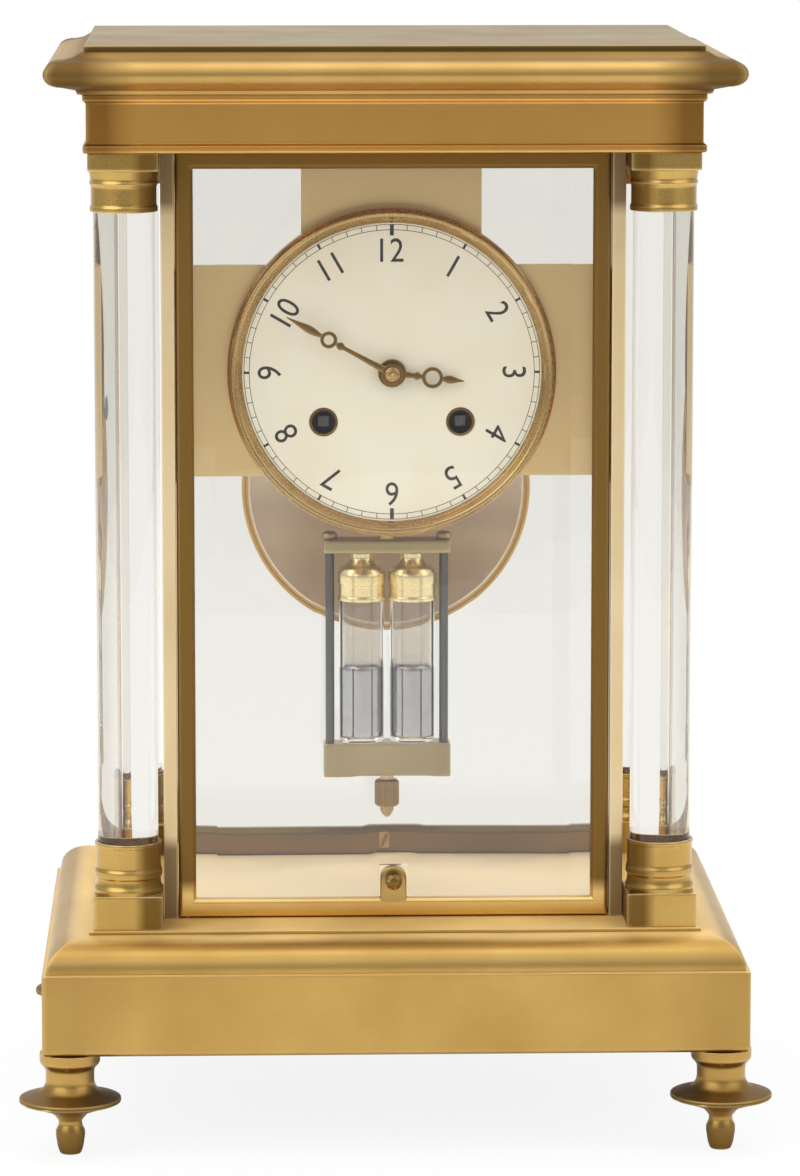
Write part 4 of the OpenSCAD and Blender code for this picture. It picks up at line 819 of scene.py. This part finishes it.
rim_high = domed(np.hypot(wind_x, wind_down)) / mm
rim_out, rim_in = hole_r + 0.75, hole_r - 0.15
rim_line = softened([
    [rim_out, rim_high - 0.2, 0.1], [rim_out - 0.1, rim_high + 0.2, 0.1], [hole_r, rim_high + 0.25, 0.1],
    [rim_in, rim_high, 0.1], [rim_in, rim_high - 1.6, 0.05], [hole_r + 0.02, rim_high - 1.6, 0.05],
    [hole_r + 0.02, rim_high - 0.2, 0.05],
], closed=True)
rims = joined(*[moved(facing_front(turned(rim_line, 64, True)), spot) for spot in wind_places])
# The rims are dark brass, part of the painted shade in the winding holes
piece("winding_rims", rims, "case", dark_brass)
paint_t = 0.02 * mm


def printed(points, angle=0.0):
    """Marks drawn flat on the dial, [across, up, height], turned clockwise by an angle in degrees about its
    middle, and laid on its dome."""
    turn = np.radians(angle)
    across = points[:, 0] * np.cos(turn) + points[:, 1] * np.sin(turn)
    up = points[:, 1] * np.cos(turn) - points[:, 0] * np.sin(turn)
    height = domed(np.hypot(across, up)) + points[:, 2]
    return np.stack([across, dial_face_y - height, dial_z + up], 1)


def numeral(text, angle, radius, size):
    """Number as a flat mesh from Blender's own type, its middle at a radius, upright along it."""
    curve = bpy.data.curves.new("numeral", "FONT")
    curve.body, curve.size, curve.extrude = text, size, paint_t
    curve.align_x, curve.align_y = "CENTER", "CENTER"
    curve.resolution_u = 6
    made = linked("numeral", curve)
    bpy.context.view_layer.update()
    mesh = merged(bpy.data.meshes.new_from_object(made.evaluated_get(bpy.context.evaluated_depsgraph_get())))
    points = np.empty(len(mesh.vertices) * 3, np.float32)
    mesh.vertices.foreach_get("co", points)
    points = points.reshape(-1, 3).astype(float)
    flat = points[:, :2]
    flat -= (flat.min(axis=0) + flat.max(axis=0)) / 2
    flat *= [numeral_narrow, 1]
    flat += [0, radius]
    mesh.vertices.foreach_set("co", printed(points, angle).astype(np.float32).ravel())
    bpy.data.objects.remove(made)
    return mesh


def ring_mark(radius, width):
    """Thin painted ring: a closed rectangle of [radius, height] turned round the dial's middle."""
    inner, outer = radius - width / 2, radius + width / 2
    line = np.array([[outer, -paint_t], [outer, paint_t], [inner, paint_t], [inner, -paint_t]])
    points, faces = turned(line, 180, closed=True)
    return printed(points), faces


def bar_mark(angle, inner, outer, width):
    """Painted bar along a radius: a thin block turned to its angle."""
    points, faces = block((-width / 2, inner, -paint_t), (width / 2, outer, paint_t), 0.005)
    return printed(points, angle), faces


# Paint: black, fired on, thinner in small patches
black, tree = empty_material("fine_numeral_paint")
place = here(tree)
thin = ranged(tree, noise(tree, place, 900, 3), 0.45, 0.75)
tone = mixed(tree, thin, tint(38, 34, 30), tint(70, 62, 52))
rough = ranged(tree, noise(tree, place, 500, 2), 0.3, 0.7, 0.3, 0.45)
finished(tree, {"Base Color": tone, "Roughness": rough})

track_in, track_out, track_line = 40.3 * mm, 41.8 * mm, 0.18 * mm
marks = [ring_mark(track_in, track_line), ring_mark(track_out, track_line)]
marks += [bar_mark(6 * i, track_in, track_out, (0.7 if i % 5 == 0 else 0.22) * mm) for i in range(60)]
long_mark_in, long_mark_w = 38.7 * mm, 1.1 * mm
marks += [bar_mark(angle, long_mark_in, track_out, long_mark_w) for angle in (0, 180)]
piece("minute_track", joined(*marks), "case", black)
numeral_r, numeral_h, numeral_narrow = 34.6 * mm, 9.6 * mm, 0.9
for hour in range(1, 13):
    shown(f"numeral_{hour}", numeral(str(hour), 30 * hour, numeral_r, numeral_h), "case", black, [])

bezel_brass = metal(
    "gilt_brass", (196, 165, 106), (170, 140, 88), (236, 206, 148),
    rough=0.2, centre=(0, 0, dial_z),
)
bezel_line = softened([
    [46.5, 28.5, 0.2], [46.5, 34.2, 0.5], [46.1, 35.5, 0.5], [45.2, 36.2, 0.5], [44.2, 35.9, 0.5],
    [43.4, 34.6, 0.6], [42.7, 34, 0.3], [42.3, 33.4, 0.2], [42.3, 33.05, 0.1], [43.8, 33, 0.1],
    [43.8, 28.5, 0.2],
], closed=True)
bezel_shape = moved(facing_front(turned(bezel_line, 160, True)), (0, 0, dial_z))
piece("turned_bezel", bezel_shape, "case", bezel_brass, "bezel")

# Hands: pierced by hand from brass, toned dark. Each has a hub, a tapered stem with a bead, a ring
# and a leaf point, and a small turned nut holds them on the centre arbor.


def blade(start, end, widths, thick):
    """Bar with a lens-shaped section along the hand: at each share of its length the outline goes round as
    half the width there times cosine and half the thickness times sine to a power, which flattens its faces.
    The widths are spread evenly over it."""
    share = np.linspace(0, 1, 24)
    width = np.interp(share, np.linspace(0, 1, len(widths)), widths) / 2
    angle = np.linspace(0, 2 * np.pi, 20, endpoint=False)
    across = width[:, None] * np.cos(angle)
    deep = np.broadcast_to(thick / 2 * np.sign(np.sin(angle)) * np.abs(np.sin(angle)) ** 0.7, across.shape)
    along = np.broadcast_to((start + (end - start) * share)[:, None], across.shape)
    points = np.stack([across, deep, along], 2)
    ends = np.broadcast_to(points[[0, -1]].mean(axis=1, keepdims=True), (2,) + points.shape[1:])
    return woven(np.concatenate([ends[:1], points, ends[1:]]))


def flat_ring(radius, bore, thick, place):
    """Flat ring with softened edges that faces the front, at a place along the hand."""
    half, wide, inside = thick / mm / 2, radius / mm, bore / mm
    line = [[wide, -half, 0.15], [wide, half, 0.15], [inside, half, 0.15], [inside, -half, 0.15]]
    ring = facing_front(turned(softened(line, closed=True), 48, True))
    return moved(ring, (0, 0, place))


def hand(name, node_name, body, angle, length, hub, ring_at, ring_r):
    """Hand built pointing up about the origin, then turned clockwise to its angle about the dial's middle."""
    low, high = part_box(node_name)
    thick = high.y - low.y
    hub_r, bore_r = hub
    bead_at = ring_at - ring_r - 1.4 * mm
    overlap = 0.3 * mm
    stem_from, ring_low, ring_top = bore_r + 0.4 * mm, ring_at - ring_r + overlap, ring_at + ring_r - overlap
    leaf = np.array([1.0, 1.5, 2.1, 2.35, 2.2, 1.8, 1.35, 0.95, 0.6, 0.3]) * mm
    shape = joined(
        flat_ring(hub_r, bore_r, thick, 0),
        blade(stem_from, ring_low, np.array([2.0, 1.6, 1.25, 1.1]) * mm, thick),
        flat_ring(ring_r, ring_r - 1.0 * mm, thick, ring_at),
        blade(bead_at - 1.3 * mm, bead_at + 1.3 * mm, np.array([0.9, 1.9, 2.4, 1.9, 0.9]) * mm, thick),
        blade(ring_top, length, leaf, thick * 0.9),
    )
    turn = np.radians(angle)
    right, back, along = (np.cos(turn), 0, -np.sin(turn)), (0, 1, 0), (np.sin(turn), 0, np.cos(turn))
    points = shape[0] @ np.array([right, back, along])
    place = (0, (low.y + high.y) / 2, dial_z)
    piece(name, (points + place, shape[1]), body, dark_brass, node_name)


hand("pierced_hour_hand", "hour_hand", "hour", 96.5, 20.5 * mm, (4 * mm, 2.62 * mm), 11.48 * mm, 3 * mm)
hand("pierced_minute_hand", "minute_hand", "centre", 298.5, 34 * mm, (3 * mm, 1.82 * mm), 20.4 * mm, 2.4 * mm)
collet_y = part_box("hand_collet")[1].y
collet_line = softened([
    [0, 0, 0], [2.1, 0, 0.1], [2.1, 0.5, 0.2], [1.6, 0.8, 0.2], [1.3, 1.3, 0.3], [0, 1.4, 0],
])
collet = moved(facing_front(turned(collet_line, 48)), (0, collet_y, dial_z))
piece("turned_collet", collet, "centre", bezel_brass, "hand_collet")

# Bell: a shallow bowl of turned bell metal behind the pendulum, screwed on a post, with the steel
# hammer of the striking train beside it.
bell_low, bell_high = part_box("bell")
bell_z = (bell_low.z + bell_high.z) / 2
bell_metal = metal(
    "bell_metal", (246, 230, 208), (232, 212, 186), (250, 238, 218),
    rough=0.36, spread=0.1, centre=(0, 0, bell_z), relief=0.12, rim=(40.6 * mm, (206, 166, 96)),
    metallic=0.7,
)
bell_r, bell_depth, bell_wall = 42 * mm, 16 * mm, 1.5 * mm
bell_ball = (bell_r**2 + bell_depth**2) / (2 * bell_depth)
bell_open = np.degrees(np.arcsin(bell_r / bell_ball))
slope = np.radians(np.linspace(bell_open, 2, 60))
groove_at = np.radians([[36.0], [34.0], [12.0]])
grooves = 0.16 * mm * np.exp(-(((slope - groove_at) / 0.008) ** 2)).sum(axis=0)
outward = np.stack([np.sin(slope), np.cos(slope)], 1)
outer = (bell_ball - grooves)[:, None] * outward
inner = (bell_ball - bell_wall) * outward[::-1]
lip = softened([[41.2, 47.0, 0], [41.5, 46.7, 0.2], [42.3, 46.9, 0.3], [42.4, 47.6, 0.3], [41.9, 47.9, 0]])
bell_line = np.vstack([lip, outer[2:], inner[:-2]])
bell_shape = moved(facing_back(turned(bell_line, 128, True)), (0, bell_high.y - bell_ball, bell_z))
piece("turned_bell", bell_shape, "case", bell_metal, "bell")
kept("bell_stand", movement_brass, 0.15 * mm)
kept("bell_nut", movement_brass, 0.1 * mm)
kept("hammer", steel, 0.1 * mm)

# Pendulum: a rod on a spring, and below it two brass bars joined by two steel rods, which hold a
# pair of glass jars with mercury in them. A knurled nut on the spike below sets the rate.
kept("pendulum_rod", movement_brass, 0.1 * mm)
frame_low, frame_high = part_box("pendulum_frame")
pendulum_y = (frame_low.y + frame_high.y) / 2
jar_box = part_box("jars")
jar_r = 6.6 * mm
jar_x = jar_box[1].x - jar_r
bar_z, top_bar_z = jar_box[0].z, frame_high.z - 4 * mm
base_bar_low = (frame_low.x, frame_low.y, bar_z - 10 * mm)
side_rod_x = frame_high.x - 1.9 * mm
rod_line = softened([[0, 0.2, 0], [1.3, 0.2, 0.1], [1.3, 69, 0.1], [0, 69, 0]])
nut_line = softened([[0, 0, 0], [2, 0, 0.2], [2.3, 0.4, 0.2], [2.3, 1.6, 0.3], [1.5, 2.2, 0.5], [0, 2.4, 0]])
spike_line = softened([[0, 0, 0], [0.8, 0.3, 0.3], [2, 2.2, 0.5], [2, 13.5, 0], [0, 13.5, 0]])
pendulum_parts = [
    block(base_bar_low, (frame_high.x, frame_high.y, bar_z), 0.5),
    block((frame_low.x, frame_low.y, top_bar_z), frame_high, 0.5),
    moved(turned(spike_line, 48), (0, pendulum_y, frame_low.z)),
]
rods = []
for side in (-side_rod_x, side_rod_x):
    rods.append(moved(turned(rod_line, 40), (side, pendulum_y, base_bar_low[2])))
    pendulum_parts.append(moved(turned(nut_line, 40), (side, pendulum_y, frame_high.z - 0.2 * mm)))
frame_brass = metal(
    "gilt_brass", (176, 157, 116), (152, 134, 96), (228, 212, 172),
    rough=0.28, stretch=(40, 2400, 2400),
)
piece("jar_frame", joined(*pendulum_parts), "pendulum", frame_brass, "pendulum_frame")
grey_steel = metal(
    "steel", (98, 98, 93), (78, 78, 74), (150, 150, 144),
    rough=0.3, spread=0.1, stretch=upright_lines,
)
piece("jar_frame_rods", joined(*rods), "pendulum", grey_steel)

jar_tall = (jar_box[1].z - bar_z) / mm
jar_line = softened([
    [0, 0, 0], [6.6, 0, 0.7], [6.6, jar_tall, 0.4], [5.7, jar_tall, 0.4], [5.7, 1.5, 0.7], [0, 1.5, 0],
])


def in_pair(line, height):
    """Two turned shapes side by side, at the places of the jars."""
    return joined(*[moved(turned(line, 64), (side * jar_x, pendulum_y, height)) for side in (-1, 1)])


jar_glass = clear_glass((0.78, 0.74, 0.67, 1))
piece("glass_jars", in_pair(jar_line, bar_z), "pendulum", jar_glass, "jars")

fill_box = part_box("mercury")
fill_tall = (fill_box[1].z - bar_z) / mm
fill_line = softened([
    [0, 1.48, 0], [5.74, 1.48, 0.7], [5.74, fill_tall - 1.2, 0.5], [4.9, fill_tall - 0.2, 0.8],
    [2.6, fill_tall, 1], [0, fill_tall, 0],
], steps=6)
mercury = metal("mercury", (176, 176, 177), (156, 157, 160), (226, 226, 230), rough=0.06, spread=0.04)
piece("mercury_fills", in_pair(fill_line, bar_z), "pendulum", mercury, "mercury")

cap_low, cap_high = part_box("jar_caps")
cap_tall = (cap_high.z - cap_low.z) / mm
cap_line = softened([
    [0, 6, 0], [6.66, 6, 0.1], [6.66, 0, 0.1], [7.1, 0, 0.15], [7.1, 1, 0.2], [6.9, 1.4, 0.2],
    [6.9, 4.6, 0.2], [7.1, 5, 0.2], [7.1, 8, 0.8], [6.2, 9.6, 0.8], [4.6, 10.4, 0.8], [3.4, 12, 0.8],
    [3.4, cap_tall, 0.2], [0, cap_tall, 0],
])
pale_gilt = metal(
    "gilt_brass", (255, 238, 186), (248, 226, 166), (254, 240, 200),
    rough=0.2, stretch=(40, 40, 2400), metallic=0.85,
)
piece("turned_jar_caps", in_pair(cap_line, cap_low.z), "pendulum", pale_gilt, "jar_caps")

nut_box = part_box("rating_nut")
nut_points = softened([
    [2.05, 0, 0.1], [2.9, 0, 0.2], [3.6, 0.7, 0.2], [3.6, 7.3, 0.2], [2.9, 8, 0.2], [2.05, 8, 0.1],
], closed=True)
knurl_count, knurl_deep = 30, 0.04
points, faces = turned(nut_points, knurl_count * 6, closed=True)
x, y = points[:, 0], points[:, 1]
on_rim = np.hypot(x, y) > 3.4 * mm
knurl = 1 - knurl_deep * on_rim * (0.5 - 0.5 * np.cos(knurl_count * np.arctan2(y, x)))
nut_shape = points * np.stack([knurl, knurl, np.ones_like(knurl)], 1), faces
piece("knurled_nut", moved(nut_shape, (0, pendulum_y, nut_box[0].z)), "rating_nut", dark_brass, "rating_nut")

# Room: a pale floor that keeps the shadow and fades to white, a white world that is dimmer towards
# the front, as a studio is behind the camera, three soft lamps, and the camera.
floor_half = 1.6
floor_corners = floor_half * np.array([[-1, -1, 0], [1, -1, 0], [1, 1, 0], [-1, 1, 0]])
floor_mesh = meshed("floor", (floor_corners, np.array([[0, 1, 2, 3]])))
floor = linked("floor", floor_mesh)
paper, tree = empty_material("paper")
away = node(tree, "VectorMath", {"Vector": here(tree)}, operation="LENGTH").outputs["Value"]
path = node(tree, "LightPath", {}).outputs
seen = worked(tree, "MAXIMUM", path["Is Camera Ray"], path["Is Transmission Ray"])
fade = worked(tree, "MULTIPLY", ranged(tree, away, 0.05, 0.34, 0.86, 1.0), seen)
matte = node(tree, "BsdfDiffuse", {"Color": (0.92, 0.92, 0.92, 1)})
bright = node(tree, "Emission", {"Color": (1, 1, 1, 1), "Strength": 1.0})
mix = node(tree, "MixShader", {"Fac": fade})
tree.links.new(matte.outputs[0], mix.inputs[1])
tree.links.new(bright.outputs[0], mix.inputs[2])
node(tree, "OutputMaterial", {"Surface": mix.outputs[0]})
floor_mesh.materials.append(paper)

world = bpy.data.worlds.new("studio")
bpy.context.scene.world = world
world.use_nodes = True
tree = world.node_tree
tree.nodes.clear()
toward = node(tree, "TexCoord", {}).outputs["Generated"]
axes = node(tree, "SeparateXYZ", {"Vector": toward}).outputs
front = ranged(tree, axes["Y"], -0.1, -0.9)
side = ranged(tree, worked(tree, "ABSOLUTE", axes["X"], 0.0), 0.5, 0.9)
above = ranged(tree, axes["Z"], 0.1, 0.8)
room = mixed(tree, side, (0.88, 0.88, 0.88, 1), (0.5, 0.5, 0.5, 1))
room = mixed(tree, front, room, (0.32, 0.32, 0.33, 1))
room = mixed(tree, above, room, (0.9, 0.9, 0.9, 1))
path = node(tree, "LightPath", {}).outputs
seen = worked(tree, "MAXIMUM", path["Is Camera Ray"], path["Is Transmission Ray"])
white = mixed(tree, seen, room, (1, 1, 1, 1))
sky = node(tree, "Background", {"Color": white, "Strength": 1.0})
node(tree, "OutputWorld", {"Surface": sky.outputs[0]})


def aimed(made, place, target):
    """Object put at a place and turned so that it looks at a target."""
    made.location = place
    direction = np.array(target) - np.array(place)
    made.rotation_mode = "QUATERNION"
    made.rotation_quaternion = Vector(direction).to_track_quat("-Z", "Y")


def soft_lamp(name, place, size, power):
    """Square area lamp that looks at the middle of the clock."""
    lamp = bpy.data.lights.new(name, "AREA")
    lamp.shape, lamp.size, lamp.energy = "SQUARE", size, power
    aimed(linked(name, lamp), place, (0, 0, 0.15))


soft_lamp("left_softbox", (-1.0, -0.9, 1.1), 1.5, 10.5)
soft_lamp("right_softbox", (1.1, -0.7, 0.9), 1.3, 4.5)
soft_lamp("top_softbox", (0.0, 0.2, 1.5), 1.6, 9.5)

camera = linked("camera", bpy.data.cameras.new("camera"))
camera.data.sensor_width, camera.data.lens = 36, 168.4
camera_place = (-0.048, -1.58, 0.38)
aimed(camera, camera_place, (0.0046, 0.0372, 0.1441))
bpy.context.scene.camera = camera
bpy.context.scene.view_settings.view_transform = "Standard"
